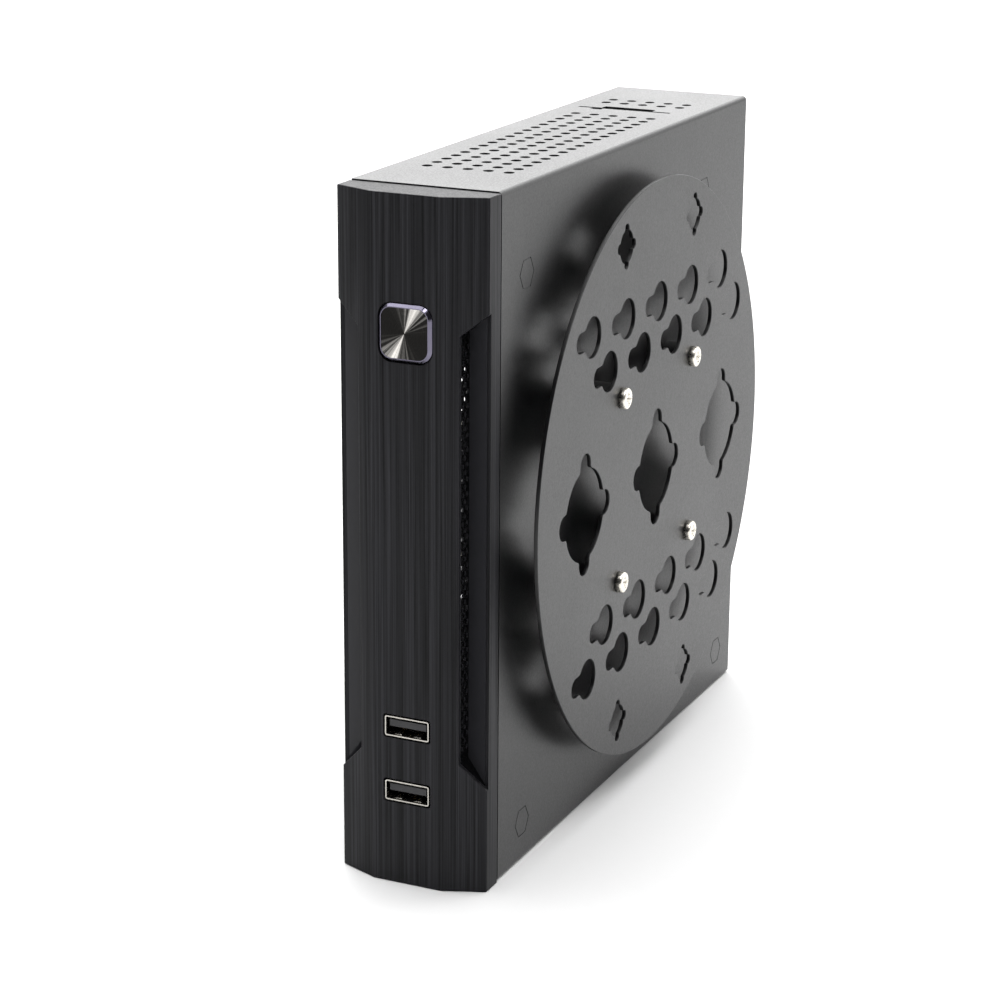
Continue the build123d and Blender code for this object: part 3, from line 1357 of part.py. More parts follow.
def front_usb_lead():
    """Lead from the front port board to the motherboard's front edge."""
    z = (USB_UPPER_Z + USB_LOWER_Z) / 2
    low = z - USB_LEAD_DROP
    y = FRAME_BACK_Y + SMALL_BOARD + IO_HEADER[1]
    x = BOARD_FACE_X - USB_LEAD_LIFT
    run = USB_LEAD_RUN
    points = [(0, y, z), (0, y + run, z), (x, y + 2 * run, low), (x, y + 3 * run, low)]
    length, width, height = USB_PLUG
    end = y + 3 * run
    plug = on_board(end, end + length, low - width / 2, low + width / 2, height)
    return group([lead(USB_LEAD_D, USB_LEAD_BEND, points), plug])


def switch_lead():
    """Thin lead from the switch board to the motherboard."""
    y = switch_face_y() + SWITCH_THICK + SMALL_BOARD
    x = BOARD_FACE_X - SWITCH_LEAD_LIFT
    start = BUTTON_Z - SWITCH_LEAD_START
    end = BUTTON_Z - SWITCH_LEAD_END
    near, middle, far = SWITCH_LEAD_RUNS
    points = [(SWITCH_LEAD_X, y, start), (SWITCH_LEAD_X, y + near, start)]
    points += [(x, y + middle, end), (x, y + far, end)]
    return lead(SWITCH_LEAD_D, SWITCH_LEAD_BEND, points)


def fan_lead():
    """Thin lead from the fan housing down to the board."""
    y = COOLER_Y + COOLER_SIDE / 2
    x = FAN_BACK_X - FAN_LEAD_INSET
    start, end = [COOLER_Z - drop for drop in FAN_LEAD_DROPS]
    far = y + FAN_LEAD_RUN
    points = [(x, y, start), (x, far, start)]
    points += [(BOARD_FACE_X - FAN_LEAD_LIFT, far, end), (BOARD_FACE_X, far, end)]
    return lead(FAN_LEAD_D, FAN_LEAD_BEND, points)


def drive_lead():
    """Lead from the drive's connector to the board."""
    x0, x1, y0, _, z0, _ = drive_box()
    x = (x0 + x1) / 2
    y = y0 + DRIVE_LEAD_Y
    start = min(z0, MEMORY_LOW_Z)
    near, far = [start - drop for drop in DRIVE_LEAD_DROPS]
    points = [(x, y, z0 + DRIVE_PLUG_DEPTH), (x, y, near)]
    points += [(BOARD_FACE_X - DRIVE_LEAD_LIFT, y, far), (BOARD_FACE_X, y, far)]
    return lead(DRIVE_LEAD_D, DRIVE_LEAD_BEND, points)


# ---- round mounting plate ----


def softened(sketch, distance):
    """Round the re-entrant corners that lie at one distance from the hole's centre."""
    corners = sketch.vertices().filter_by(lambda v: abs(math.hypot(v.X, v.Y) - distance) < CORNER_TOLERANCE)
    return fillet(corners, KEY_FILLET)


def keyhole():
    """Round hole for a screw's head, and a narrow end towards the front for its shank."""
    neck = Pos(-KEY_REACH / 2, 0) * Rectangle(KEY_REACH, KEY_NECK)
    end = Pos(-KEY_REACH, 0) * Circle(KEY_NECK / 2)
    return softened(Circle(KEY_HEAD_D / 2) + neck + end, KEY_HEAD_D / 2)


def cross_hole(body_d, reach, lobe_d):
    """Round hole with four rounded lobes."""
    hole = Circle(body_d / 2)
    for turn in (0, 90):
        hole += Rot(0, 0, turn) * Rectangle(2 * reach, lobe_d)
    for turn in range(0, 360, 90):
        hole += Rot(0, 0, turn) * (Pos(reach, 0) * Circle(lobe_d / 2))
    return hole


def keyhole_points():
    """Centres of the keyholes about the plate's middle, in (Y, Z)."""
    points = []
    for side in (-1, 1):
        points += [(n * KEY_PITCH, side * KEY_ROW_OUTER) for n in (-2, -1, 0, 1, 2)]
        points += [((n + 0.5) * KEY_PITCH, side * KEY_ROW_INNER) for n in (-2, -1, 0, 1, 2)]
    return points


def mounting_plate():
    """Round plate with keyholes, lobed holes and four screw holes."""
    key = keyhole()
    holes = [Pos(y, z) * key for y, z in keyhole_points()]
    cross = softened(cross_hole(CROSS_BODY_D, CROSS_REACH, CROSS_LOBE_D), CROSS_BODY_D / 2)
    holes += [Pos(n * CROSS_PITCH, 0) * cross for n in (-1, 0, 1)]
    small = cross_hole(SMALL_CROSS_BODY_D, SMALL_CROSS_REACH, SMALL_CROSS_LOBE_D)
    for y in (-SMALL_CROSS_Y, SMALL_CROSS_Y):
        holes += [Pos(y, z) * small for z in (-SMALL_CROSS_Z, SMALL_CROSS_Z)]
    bore = Circle(PLATE_SCREW_D / 2 + BORE_GAP)
    holes += [Pos(y, z) * bore for y, z in square_points(SPACER_SQUARE, 0, 0)]
    disc = Circle(PLATE_D / 2) - holes
    return along_x(Pos(0, PLATE_Z) * disc, PLATE_IN_X, PLATE_OUT_X)


def plate_spacers():
    """Four tubes that hold the plate off the case."""
    spacers = []
    for y, z in square_points(SPACER_SQUARE, 0, PLATE_Z):
        bore = rod_x(PLATE_SCREW_D + 2 * BORE_GAP, HALF_W - OVERCUT, PLATE_IN_X + OVERCUT, y, z)
        spacers.append(rod_x(SPACER_D, HALF_W, PLATE_IN_X, y, z) - bore)
    return group(spacers)


def plate_screws():
    """Four pan-head cross screws through the plate, the spacers and the tray."""
    screws = []
    end = PLATE_OUT_X + PLATE_HEAD_HEIGHT
    tip = INNER_X - NUT_THICK - PLATE_SCREW_END
    deep = (end - PLATE_RECESS_DEPTH, end + OVERCUT)
    arm = PLATE_HEAD_D / 2 * PLATE_RECESS_SHARE
    bar = PLATE_RECESS_BAR / 2
    for y, z in square_points(SPACER_SQUARE, 0, PLATE_Z):
        head = rod_x(PLATE_HEAD_D, PLATE_OUT_X, end, y, z)
        head = fillet(head.faces().sort_by(Axis.X)[-1].edges(), PLATE_HEAD_ROUND)
        head -= block(*deep, y - arm, y + arm, z - bar, z + bar)
        head -= block(*deep, y - bar, y + bar, z - arm, z + arm)
        screws.append(head + rod_x(PLATE_SCREW_D, tip, PLATE_OUT_X, y, z))
    return group(screws)


def plate_nuts():
    """Four nuts pressed to the inside of the tray."""
    nuts = []
    for y, z in square_points(SPACER_SQUARE, 0, PLATE_Z):
        body = along_x(Pos(y, z) * RegularPolygon(NUT_D / 2, 6), INNER_X - NUT_THICK, INNER_X)
        nuts.append(body - rod_x(PLATE_SCREW_D, INNER_X - NUT_THICK - OVERCUT, INNER_X + OVERCUT, y, z))
    return group(nuts)


NODES = {
    "base_tray": base_tray,
    "side_cover": side_cover,
    "cover_screws": cover_screws,
    "front_frame": front_frame,
    "rear_panel": rear_panel,
    "io_shield": io_shield,
    "front_bezel": front_bezel,
    "notch_liner_right": notch_liner,
    "notch_liner_left": lambda: mirror(notch_liner(), Plane.YZ),
    "power_button_cap": power_button_cap,
    "button_plunger": button_plunger,
    "button_spring": button_spring,
    "power_switch": power_switch,
    "switch_actuator": switch_actuator,
    "switch_board": switch_board,
    "switch_posts": switch_posts,
    "switch_lead": switch_lead,
    "front_io_board": front_io_board,
    "io_board_screws": io_board_screws,
    "usb_upper_shell": lambda: usb_shell(USB_UPPER_Z),
    "usb_upper_tongue": lambda: usb_tongue(USB_UPPER_Z),
    "usb_lower_shell": lambda: usb_shell(USB_LOWER_Z),
    "usb_lower_tongue": lambda: usb_tongue(USB_LOWER_Z),
    "usb_contacts": usb_contacts,
    "front_usb_lead": front_usb_lead,
    "motherboard": motherboard,
    "board_standoffs": board_standoffs,
    "board_screws": board_screws,
    "processor": processor,
    "heatsink": heatsink,
    "fan_frame": fan_frame,
    "fan_rotor": fan_rotor,
    "fan_screws": fan_screws,
    "fan_lead": fan_lead,
    "memory_sockets": memory_sockets,
    "memory_module_lower": lambda: memory_module(0),
    "memory_module_upper": lambda: memory_module(1),
    "solid_state_card": solid_state_card,
    "wireless_card": wireless_card,
    "board_chokes": board_chokes,
    "board_chips": board_chips,
    "coin_cell": coin_cell,
    "drive": drive,
    "drive_bracket": drive_bracket,
    "drive_screws": drive_screws,
    "drive_lead": drive_lead,
    "power_inlet": power_inlet,
    "hdmi_port": lambda: video_port(HDMI_Z, HDMI_SIZE),
    "display_port": lambda: video_port(DISPLAY_Z, DISPLAY_SIZE),
    "rear_usb_stack_low": lambda: rear_usb_stack(USB_A_Z),
    "rear_usb_stack_high": lambda: rear_usb_stack(USB_B_Z),
    "lan_jack": lan_jack,
    "audio_jacks": audio_jacks,
    "antenna_jacks": antenna_jacks,
    "mounting_plate": mounting_plate,
    "plate_spacers": plate_spacers,
    "plate_screws": plate_screws,
    "plate_nuts": plate_nuts,
}


def main():
    """Build every node and write its file."""
    os.makedirs("parts", exist_ok=True)
    for name, make in NODES.items():
        write(make(), name)


main()
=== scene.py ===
"""Looks for a slim mini PC that stands on its edge beside a round mounting plate.

X runs across the narrow case towards the plate, Y to the rear and Z up, in metres.
The case, the plate and the inner parts come from model.glb and get their finishes here.
The spun button face, the plate's screws and the leaf springs in the sockets are surfaces
worked out here. Copies with rounded edges stand for the plate and the bezel, and a copy
with a mesh of its own stands for the button's spring.
"""

import math

import bmesh
import bpy
import numpy as np
from bpy.props import FloatProperty, FloatVectorProperty, PointerProperty
from mathutils import Matrix, Vector


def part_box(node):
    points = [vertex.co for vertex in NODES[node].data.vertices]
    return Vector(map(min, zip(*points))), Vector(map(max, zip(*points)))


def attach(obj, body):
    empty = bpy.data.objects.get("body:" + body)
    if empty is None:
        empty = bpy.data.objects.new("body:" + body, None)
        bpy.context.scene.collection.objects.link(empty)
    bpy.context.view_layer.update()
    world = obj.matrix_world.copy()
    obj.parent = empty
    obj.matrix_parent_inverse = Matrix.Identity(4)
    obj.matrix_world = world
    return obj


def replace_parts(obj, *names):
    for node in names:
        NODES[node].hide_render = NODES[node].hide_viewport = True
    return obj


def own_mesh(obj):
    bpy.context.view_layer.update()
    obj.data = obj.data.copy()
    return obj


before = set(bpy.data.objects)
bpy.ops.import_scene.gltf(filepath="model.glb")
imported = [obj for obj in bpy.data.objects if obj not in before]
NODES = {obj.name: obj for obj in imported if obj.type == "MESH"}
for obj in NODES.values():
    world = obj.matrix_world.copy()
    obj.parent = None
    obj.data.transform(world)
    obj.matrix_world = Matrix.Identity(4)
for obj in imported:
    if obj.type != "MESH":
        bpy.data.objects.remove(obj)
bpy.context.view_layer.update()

bl_info = {
    "name": "Mini PC looks",
    "version": (1, 0, 0),
    "blender": (4, 5, 0),
    "location": "3D View > Sidebar > Mini PC",
    "description": "Finishes and fine surfaces for a mini PC with a round mounting plate",
    "category": "Object",
}

MM = 0.001
DOUBLES = 0.001 * MM
FLAT_ANGLE = math.radians(0.5)
ROUNDED_ANGLE = math.radians(50)
BEVEL_STEPS = 3

RING_WIDTH = 1.0 * MM
FACE_CORNER = 2.9 * MM
CAP_RECESS = 0.12 * MM
FACE_RINGS = 120
FACE_SPOKES = 192
GROOVED_SHARE = 0.97
# Direction across the button face along which the painted highlight rays run.
PAINTED_SHEEN_AXIS = (0.45, 0.0, 0.89)

HEAD_RADIUS = 3.1 * MM
SHANK_SHARE = 0.56
HEAD_RINGS = 40
HEAD_SPOKES = 96
HEAD_POWER = 0.3
CROSS_HALF_WIDTH = 0.16
CROSS_HALF_LENGTH = 0.55
CROSS_SIDE_BLUR = 0.06
CROSS_END_BLUR = 0.1

SHELL_SHEET = 0.4 * MM
LEAF_SHEET = 0.15 * MM
LEAF_WIDTH = 2.2 * MM
LEAF_LENGTH = 6.5 * MM
LEAF_INSET = 0.5 * MM
LEAF_TAPER = 0.3
LEAF_SPREAD = 0.22
ROOF_BOW_SHARE = 0.4
LEAF_ROWS = 24
LEAF_COLUMNS = 6

FLOOR_HALF = 9.0
FLOOR_GAP = 0.05 * MM
FLOOR_LINES = 5
ROOM_FADE = (-0.3, 0.35)
PANEL_AIM = (0, 0, 0.1)
SENSOR_WIDTH = 36.0
VIEW_END = 60.0


# ---- settings ----


def colour(name, default, text):
    """A colour property, linear red, green and blue."""
    return FloatVectorProperty(
        name=name, description=text, subtype="COLOR", size=3, min=0.0, max=1.0, default=default
    )


def length(name, default, text):
    """A length property in metres."""
    return FloatProperty(name=name, description=text, default=default, unit="LENGTH", precision=5)


def amount(name, default, text, high=1.0):
    """A plain number from nought to a limit."""
    return FloatProperty(name=name, description=text, default=default, min=0.0, max=high)


class FinishSettings(bpy.types.PropertyGroup):
    """Colours and roughness of the outer finishes."""

    coat_dark: colour("Coat, dark", (0.0015, 0.0015, 0.0018), "Powder coat in its hollows")
    coat_light: colour("Coat, light", (0.0035, 0.0035, 0.004), "Powder coat on its grains")
    coat_roughness: amount("Coat roughness", 0.345, "Mean roughness of the powder coat")
    coat_grain: length("Coat grain", 0.0005, "Size of the powder coat's grains")
    bezel_dark: colour("Bezel, dark", (0.002, 0.002, 0.0025), "Brushed bezel in its scratches")
    bezel_light: colour("Bezel, light", (0.034, 0.034, 0.039), "Brushed bezel on its ridges")
    bezel_roughness: amount("Bezel roughness", 0.42, "Mean roughness of the brushed bezel")
    liner: colour("Liner", (0.03, 0.03, 0.034), "Glossy sheet in the notches")
    ring: colour("Button ring", (0.16, 0.15, 0.2), "Polished bevel round the button")
    # Button face: colour of the painted highlight rays on the spun face; between them the face is
    # near black.
    spun: colour("Button face", (0.85, 0.82, 0.78), "Spun face of the button")
    nickel: colour("Nickel", (0.5, 0.48, 0.44), "Plated socket shells")
    screw: colour("Screw", (0.86, 0.82, 0.74), "Bright screw heads")


class DetailSettings(bpy.types.PropertyGroup):
    """Sizes of the fine surfaces."""

    groove_pitch: length("Groove pitch", 0.00022, "Distance between the button's turned grooves")
    groove_depth: length("Groove depth", 0.000012, "Depth of the button's turned grooves")
    face_lift: length("Face lift", 0.00003, "Height of the spun face over the cap's recess")
    plate_edge: length("Plate edge", 0.00022, "Rounding of the plate's punched edges")
    bezel_edge: length("Bezel edge", 0.00012, "Rounding of the bezel's milled edges")
    spring_bow: length("Leaf bow", 0.0006, "How far a socket's leaf springs bow inwards")
    recess_depth: length("Recess depth", 0.0009, "Depth of the cross in a screw's head")


class StageSettings(bpy.types.PropertyGroup):
    """Floor, lights and camera."""

    floor: colour("Floor", (0.9, 0.9, 0.9), "Plain pale floor")
    world: amount("Room light", 0.9, "Radiance of the room behind the object", high=10.0)
    front: amount("Front room", 0.06, "Radiance of the room in front of the object", high=10.0)
    back: amount("Back panel", 2.25, "Radiance of the soft panel behind the object", high=40.0)
    top: amount("Top panel", 3.2, "Radiance of the soft panel overhead", high=40.0)
    key: amount("Key panel", 9.0, "Radiance of the small panel above and in front", high=90.0)
    side: amount("Side panel", 3.1, "Radiance of the soft panel behind and to the right", high=40.0)
    camera_place: FloatVectorProperty(
        name="Camera", description="Camera position", subtype="XYZ", unit="LENGTH",
        size=3, default=(0.31211, -0.72287, 0.32299),
    )
    camera_azimuth: FloatProperty(
        name="Azimuth", description="Turn of the view about Z", unit="ROTATION",
        default=math.radians(24.708),
    )
    camera_elevation: FloatProperty(
        name="Elevation", description="How far the view looks down", unit="ROTATION",
        default=math.radians(16.988),
    )
    camera_roll: FloatProperty(
        name="Roll", description="Turn of the view about its own axis", unit="ROTATION",
        default=math.radians(0.386),
    )
    camera_lens: FloatProperty(
        name="Lens", description="Focal length on a 36 mm wide sensor, in millimetres",
        default=98.31, min=10.0, max=300.0,
    )


# ---- a small kit for materials ----


class Finish:
    """A material round one Principled shader, with patterns on Object coordinates."""

    def __init__(self, name, base, roughness, metallic=0.0, **sockets):
        self.material = bpy.data.materials.new(name)
        self.material.use_nodes = True
        self.tree = self.material.node_tree
        self.shader = self.tree.nodes["Principled BSDF"]
        self.shader.inputs["Base Color"].default_value = (*base, 1.0)
        self.shader.inputs["Roughness"].default_value = roughness
        self.shader.inputs["Metallic"].default_value = metallic
        for socket, value in sockets.items():
            self.shader.inputs[socket.replace("_", " ")].default_value = value
        self.place = self.tree.nodes.new("ShaderNodeTexCoord").outputs["Object"]

    def node(self, kind, inputs=None, **settings):
        """A new node; inputs holds values, or sockets to link from."""
        made = self.tree.nodes.new(kind)
        for name, value in settings.items():
            setattr(made, name, value)
        for name, value in (inputs or {}).items():
            if isinstance(value, bpy.types.NodeSocket):
                self.tree.links.new(value, made.inputs[name])
            else:
                made.inputs[name].default_value = value
        return made

    def scaled(self, stretch, source=None, shift=(0, 0, 0)):
        """Object coordinates multiplied along each axis."""
        made = self.node("ShaderNodeMapping", {"Vector": source or self.place, "Scale": stretch})
        made.inputs["Location"].default_value = shift
        return made.outputs["Vector"]

    def noise(self, stretch, detail=2.0, roughness=0.5, source=None):
        """Noise with the given number of cells a metre along each axis."""
        vector = self.scaled(stretch, source)
        inputs = {"Vector": vector, "Scale": 1.0, "Detail": detail, "Roughness": roughness}
        return self.node("ShaderNodeTexNoise", inputs).outputs["Fac"]

    def spread(self, value, low, high, to_low=0.0, to_high=1.0):
        """A value stretched from one range to another and held at its ends."""
        inputs = {0: value, 1: low, 2: high, 3: to_low, 4: to_high}
        return self.node("ShaderNodeMapRange", inputs).outputs[0]

    def blend(self, share, first, second):
        """A colour between two, by share."""
        made = self.node("ShaderNodeMix", {"Factor": share}, data_type="RGBA")
        for socket, value in ((6, first), (7, second)):
            if isinstance(value, bpy.types.NodeSocket):
                self.tree.links.new(value, made.inputs[socket])
            else:
                made.inputs[socket].default_value = (*value, 1.0)
        return made.outputs[2]

    def maths(self, operation, first, second=0.0):
        """One step of arithmetic."""
        return self.node("ShaderNodeMath", {0: first, 1: second}, operation=operation).outputs[0]

    def set(self, name, socket):
        """Drives one shader input."""
        self.tree.links.new(socket, self.shader.inputs[name])
        return self

    def bump(self, height, distance, strength=1.0):
        """Relief of the given depth in metres, laid over any earlier relief."""
        normal = self.shader.inputs["Normal"]
        inputs = {"Height": height, "Distance": distance, "Strength": strength}
        if normal.is_linked:
            inputs["Normal"] = normal.links[0].from_socket
        return self.set("Normal", self.node("ShaderNodeBump", inputs).outputs["Normal"])


def even(count):
    """The same stretch along all three axes."""
    return (count, count, count)


def give(finish, *names):
    """Puts one material on the whole of each named node."""
    for name in names:
        slots = NODES[name].data.materials
        slots.clear()
        slots.append(finish.material)


# ---- a small kit for surfaces ----


def grid_faces(rows, columns, wrap):
    """Quads of a grid, as an index array; wrap closes each row on itself."""
    across = np.arange(columns if wrap else columns - 1)
    down = np.arange(rows - 1)[:, None]
    here = down * columns + across
    beside = down * columns + (across + 1) % columns
    return np.stack([here, beside, beside + columns, here + columns], axis=-1).reshape(-1, 4)


def mesh_of(name, points, faces):
    """A smooth mesh object from an array of points and an array of faces."""
    mesh = bpy.data.meshes.new(name)
    mesh.from_pydata(points.reshape(-1, 3).tolist(), [], faces.tolist())
    mesh.polygons.foreach_set("use_smooth", np.full(len(mesh.polygons), True))
    mesh.validate()
    mesh.update()
    made = bpy.data.objects.new(name, mesh)
    bpy.context.scene.collection.objects.link(made)
    return made


def joined(name, sheets):
    """One mesh object from several (points, faces) pairs, with its faces turned outward."""
    points = [sheet_points.reshape(-1, 3) for sheet_points, sheet_faces in sheets]
    starts = np.cumsum([0] + [len(block) for block in points[:-1]])
    faces = [sheet[1] + start for sheet, start in zip(sheets, starts)]
    made = mesh_of(name, np.concatenate(points), np.concatenate(faces))
    tidy_mesh(made.data, 0.0)
    return made


def tidy_mesh(mesh, angle):
    """Merges doubles, melts edges flatter than the angle and turns the faces outward."""
    work = bmesh.new()
    work.from_mesh(mesh)
    bmesh.ops.remove_doubles(work, verts=work.verts, dist=DOUBLES)
    if angle:
        bmesh.ops.dissolve_limit(work, angle_limit=angle, verts=work.verts, edges=work.edges)
    bmesh.ops.recalc_face_normals(work, faces=work.faces)
    work.to_mesh(mesh)
    work.free()


def stand_in(name, node, angle, finish, body):
    """A copy of a CAD node that stands for it; edges flatter than the angle are melted."""
    mesh = NODES[node].data.copy()
    mesh.name = name
    mesh.materials.clear()
    for stored in ("custom_normal", "sharp_edge", "sharp_face"):
        if stored in mesh.attributes:
            mesh.attributes.remove(mesh.attributes[stored])
    tidy_mesh(mesh, angle)
    mesh.polygons.foreach_set("use_smooth", np.full(len(mesh.polygons), True))
    made = bpy.data.objects.new(name, mesh)
    made.matrix_world = NODES[node].matrix_world
    bpy.context.scene.collection.objects.link(made)
    dress(made, finish, body)
    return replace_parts(made, node)


def rounded_copy(name, node, width, finish):
    """A stand-in whose sharp edges are rounded."""
    made = stand_in(name, node, FLAT_ANGLE, finish, "case")
    rounding = made.modifiers.new("rounding", "BEVEL")
    rounding.width = width
    rounding.segments = BEVEL_STEPS
    rounding.limit_method = "ANGLE"
    rounding.angle_limit = ROUNDED_ANGLE
    rounding.use_clamp_overlap = False
    evened = made.modifiers.new("evened", "WEIGHTED_NORMAL")
    evened.mode = "FACE_AREA"
    evened.weight = 100


def dress(piece, finish, body):
    """Finish and body of a new piece."""
    piece.data.materials.append(finish.material)
    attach(piece, body)
    return piece


# ---- finishes ----


def powder_coat(settings):
    """Fine textured black powder coat: grains, orange peel and a little dust."""
    coat = Finish("powder_coat", settings.coat_dark, settings.coat_roughness)
    cells = 1.0 / settings.coat_grain
    grain = coat.noise(even(cells), detail=3.0, roughness=0.6)
    peel = coat.noise(even(cells / 5), detail=2.0)
    cloud = coat.noise(even(18.0), detail=3.0)
    coat.set("Base Color", coat.blend(grain, settings.coat_dark, settings.coat_light))
    mean = settings.coat_roughness
    mottled = coat.spread(grain, 0.3, 0.7, mean - 0.06, mean + 0.08)
    coat.set("Roughness", coat.maths("ADD", mottled, coat.spread(cloud, 0.3, 0.7, -0.02, 0.02)))
    coat.bump(peel, 0.00004, 0.5)
    coat.bump(grain, 0.00003, 0.6)
    return coat


def brushed_bezel(settings):
    """Black brushed metal: long scratches along Z in three widths."""
    mean = settings.bezel_roughness
    metal = Finish("brushed_bezel", settings.bezel_dark, mean, Specular_IOR_Level=0.13)
    fine = metal.noise((5200.0, 5200.0, 22.0), detail=2.0)
    middle = metal.noise((1500.0, 1500.0, 9.0), detail=2.0)
    broad = metal.noise((260.0, 260.0, 4.0), detail=2.0)
    halves = [metal.maths("MULTIPLY", scratch, 0.5) for scratch in (fine, middle)]
    scratches = metal.maths("ADD", *halves)
    bands = metal.spread(broad, 0.3, 0.7, 0.5, 1.2)
    share = metal.maths("MULTIPLY", metal.spread(scratches, 0.36, 0.68), bands)
    metal.set("Base Color", metal.blend(share, settings.bezel_dark, settings.bezel_light))
    metal.set("Roughness", metal.spread(scratches, 0.3, 0.7, mean + 0.08, mean - 0.1))
    metal.bump(scratches, 0.00003, 0.5)
    return metal


def liner_gloss(settings):
    """Smooth blue-black sheet with faint haze and painted shade on the faces that look sideways."""
    gloss = Finish("liner_gloss", settings.liner, 0.16, Specular_IOR_Level=0.22)
    haze = gloss.noise(even(60.0), detail=4.0)
    facing = gloss.node("ShaderNodeNewGeometry").outputs["Normal"]
    parts = gloss.node("ShaderNodeSeparateXYZ", {0: facing})
    forward = gloss.maths("ABSOLUTE", parts.outputs["Y"])
    # Painted shade: faces that look sideways get a much darker colour than those that look forward.
    sideways_painted_shade = tuple(c * 0.12 for c in settings.liner)
    gloss.set("Base Color", gloss.blend(gloss.spread(forward, 0.4, 0.7), sideways_painted_shade, settings.liner))
    gloss.set("Roughness", gloss.spread(haze, 0.35, 0.7, 0.12, 0.24))
    gloss.bump(gloss.noise(even(700.0)), 0.00002, 0.2)
    return gloss


def spun_metal_painted_sheen(settings, centre):
    """Turned metal: fine rings about the button's middle, and a painted highlight that fans out.

    The painted highlight sits in the base colour and depends on direction only: a narrow pair
    of bright rays along PAINTED_SHEEN_AXIS, and round them a fan of thinner rays from noise on
    the unit vector. Away from the rays the base colour is near black, as painted shade.
    """
    metal = Finish("spun_metal_painted_sheen", settings.spun, 0.28, metallic=1.0, Anisotropic=0.9)

    def vector(operation, first, second=(0, 0, 0), output=0):
        inputs = {0: first, 1: second}
        return metal.node("ShaderNodeVectorMath", inputs, operation=operation).outputs[output]

    offset = vector("SUBTRACT", metal.place, centre)
    flat = vector("MULTIPLY", offset, (1, 0, 1))
    radius = vector("LENGTH", flat, output="Value")
    metal.set("Tangent", vector("CROSS_PRODUCT", flat, (0, 1, 0)))
    steps = metal.node("ShaderNodeCombineXYZ", {"X": metal.maths("MULTIPLY", radius, 5200.0)})
    rings = metal.node(
        "ShaderNodeTexNoise", {"Vector": steps.outputs[0], "Scale": 1.0, "Detail": 3.0}
    ).outputs["Fac"]
    metal.set("Roughness", metal.spread(rings, 0.3, 0.7, 0.22, 0.4))
    unit = vector("NORMALIZE", flat)
    along = metal.maths("ABSOLUTE", vector("DOT_PRODUCT", unit, PAINTED_SHEEN_AXIS, "Value"))
    rays = metal.spread(metal.noise(even(9.0), detail=4.0, roughness=0.7, source=unit), 0.47, 0.6)
    fan = metal.maths("MULTIPLY", rays, metal.maths("POWER", along, 7.0))
    ray = metal.maths("POWER", along, 90.0)
    painted_sheen = metal.maths("ADD", ray, metal.maths("MULTIPLY", fan, 0.55))
    # Painted highlight: the base colour is full on the rays and near black between them.
    dark = tuple(c * 0.02 for c in settings.spun)
    metal.set("Base Color", metal.blend(metal.maths("MINIMUM", painted_sheen, 1.0), dark, settings.spun))
    metal.bump(rings, 0.000004, 0.2)
    return metal


def plated(name, base, roughness, grain=3000.0, stretch=(1, 1, 1)):
    """Plated or bare metal with a drawn grain and slight staining."""
    metal = Finish(name, base, roughness, metallic=1.0)
    lines = metal.noise(tuple(grain * s for s in stretch), detail=2.0)
    stain = metal.noise(even(90.0), detail=4.0, roughness=0.6)
    duller = tuple(c * 0.8 for c in base)
    metal.set("Base Color", metal.blend(metal.spread(stain, 0.35, 0.75), base, duller))
    metal.set("Roughness", metal.spread(lines, 0.3, 0.7, roughness * 0.75, roughness * 1.3))
    metal.bump(lines, 0.00001, 0.35)
    return metal


def polished(settings):
    """Bright smooth screw metal, a little duller where it has been handled."""
    metal = Finish("bright_screw", settings.screw, 0.24, metallic=1.0)
    haze = metal.noise(even(900.0), detail=3.0)
    metal.set("Roughness", metal.spread(haze, 0.3, 0.7, 0.2, 0.34))
    duller = tuple(c * 0.85 for c in settings.screw)
    metal.set("Base Color", metal.blend(haze, duller, settings.screw))
    return metal


def moulding(name, base, roughness=0.5, grain=2600.0):
    """Moulded plastic with a spark-eroded grain."""
    plastic = Finish(name, base, roughness)
    grit = plastic.noise(even(grain), detail=3.0)
    cloud = plastic.noise(even(40.0), detail=2.0)
    lighter = tuple(min(1.0, c * 1.5 + 0.004) for c in base)
    plastic.set("Base Color", plastic.blend(cloud, base, lighter))
    plastic.set("Roughness", plastic.spread(grit, 0.3, 0.7, roughness - 0.07, roughness + 0.09))
    plastic.bump(grit, 0.00003, 0.4)
    return plastic


def solder_mask(name, base):
    """Circuit board: a satin mask with copper runs that show through as lighter lines."""
    board = Finish(name, base, 0.32)
    cells = board.node(
        "ShaderNodeTexVoronoi",
        {"Vector": board.place, "Scale": 420.0},
        distance="CHEBYCHEV",
        feature="F1",
    )
    runs = board.node(
        "ShaderNodeTexWave",
        {"Vector": board.place, "Scale": 300.0, "Distortion": 2.5, "Detail": 0.0},
        bands_direction="DIAGONAL",
    ).outputs["Fac"]
    traces = board.spread(runs, 0.55, 0.62)
    pads = board.spread(cells.outputs["Distance"], 0.16, 0.12)
    lighter = tuple(c * 1.9 + 0.004 for c in base)
    copper = board.blend(traces, base, lighter)
    board.set("Base Color", board.blend(pads, copper, (0.32, 0.3, 0.24)))
    board.set("Roughness", board.spread(traces, 0.0, 1.0, 0.36, 0.28))
    board.bump(traces, 0.00003, 0.5)
    return board


def jacket(name, base):
    """Lead jacket: satin plastic with a faint twist of the wires below."""
    lead = Finish(name, base, 0.42)
    twist = lead.node(
        "ShaderNodeTexWave",
        {"Vector": lead.place, "Scale": 350.0, "Distortion": 1.0},
        bands_direction="DIAGONAL",
    ).outputs["Fac"]
    lead.bump(twist, 0.00015, 0.5)
    lead.set("Roughness", lead.spread(twist, 0.0, 1.0, 0.36, 0.5))
    return lead


def painted_floor(settings):
    """Plain pale floor with hardly any texture."""
    floor = Finish("floor_paint", settings.floor, 0.85)
    paper = floor.noise(even(300.0), detail=2.0)
    low = tuple(c * 0.985 for c in settings.floor)
    floor.set("Base Color", floor.blend(paper, low, settings.floor))
    return floor


# ---- surfaces ----


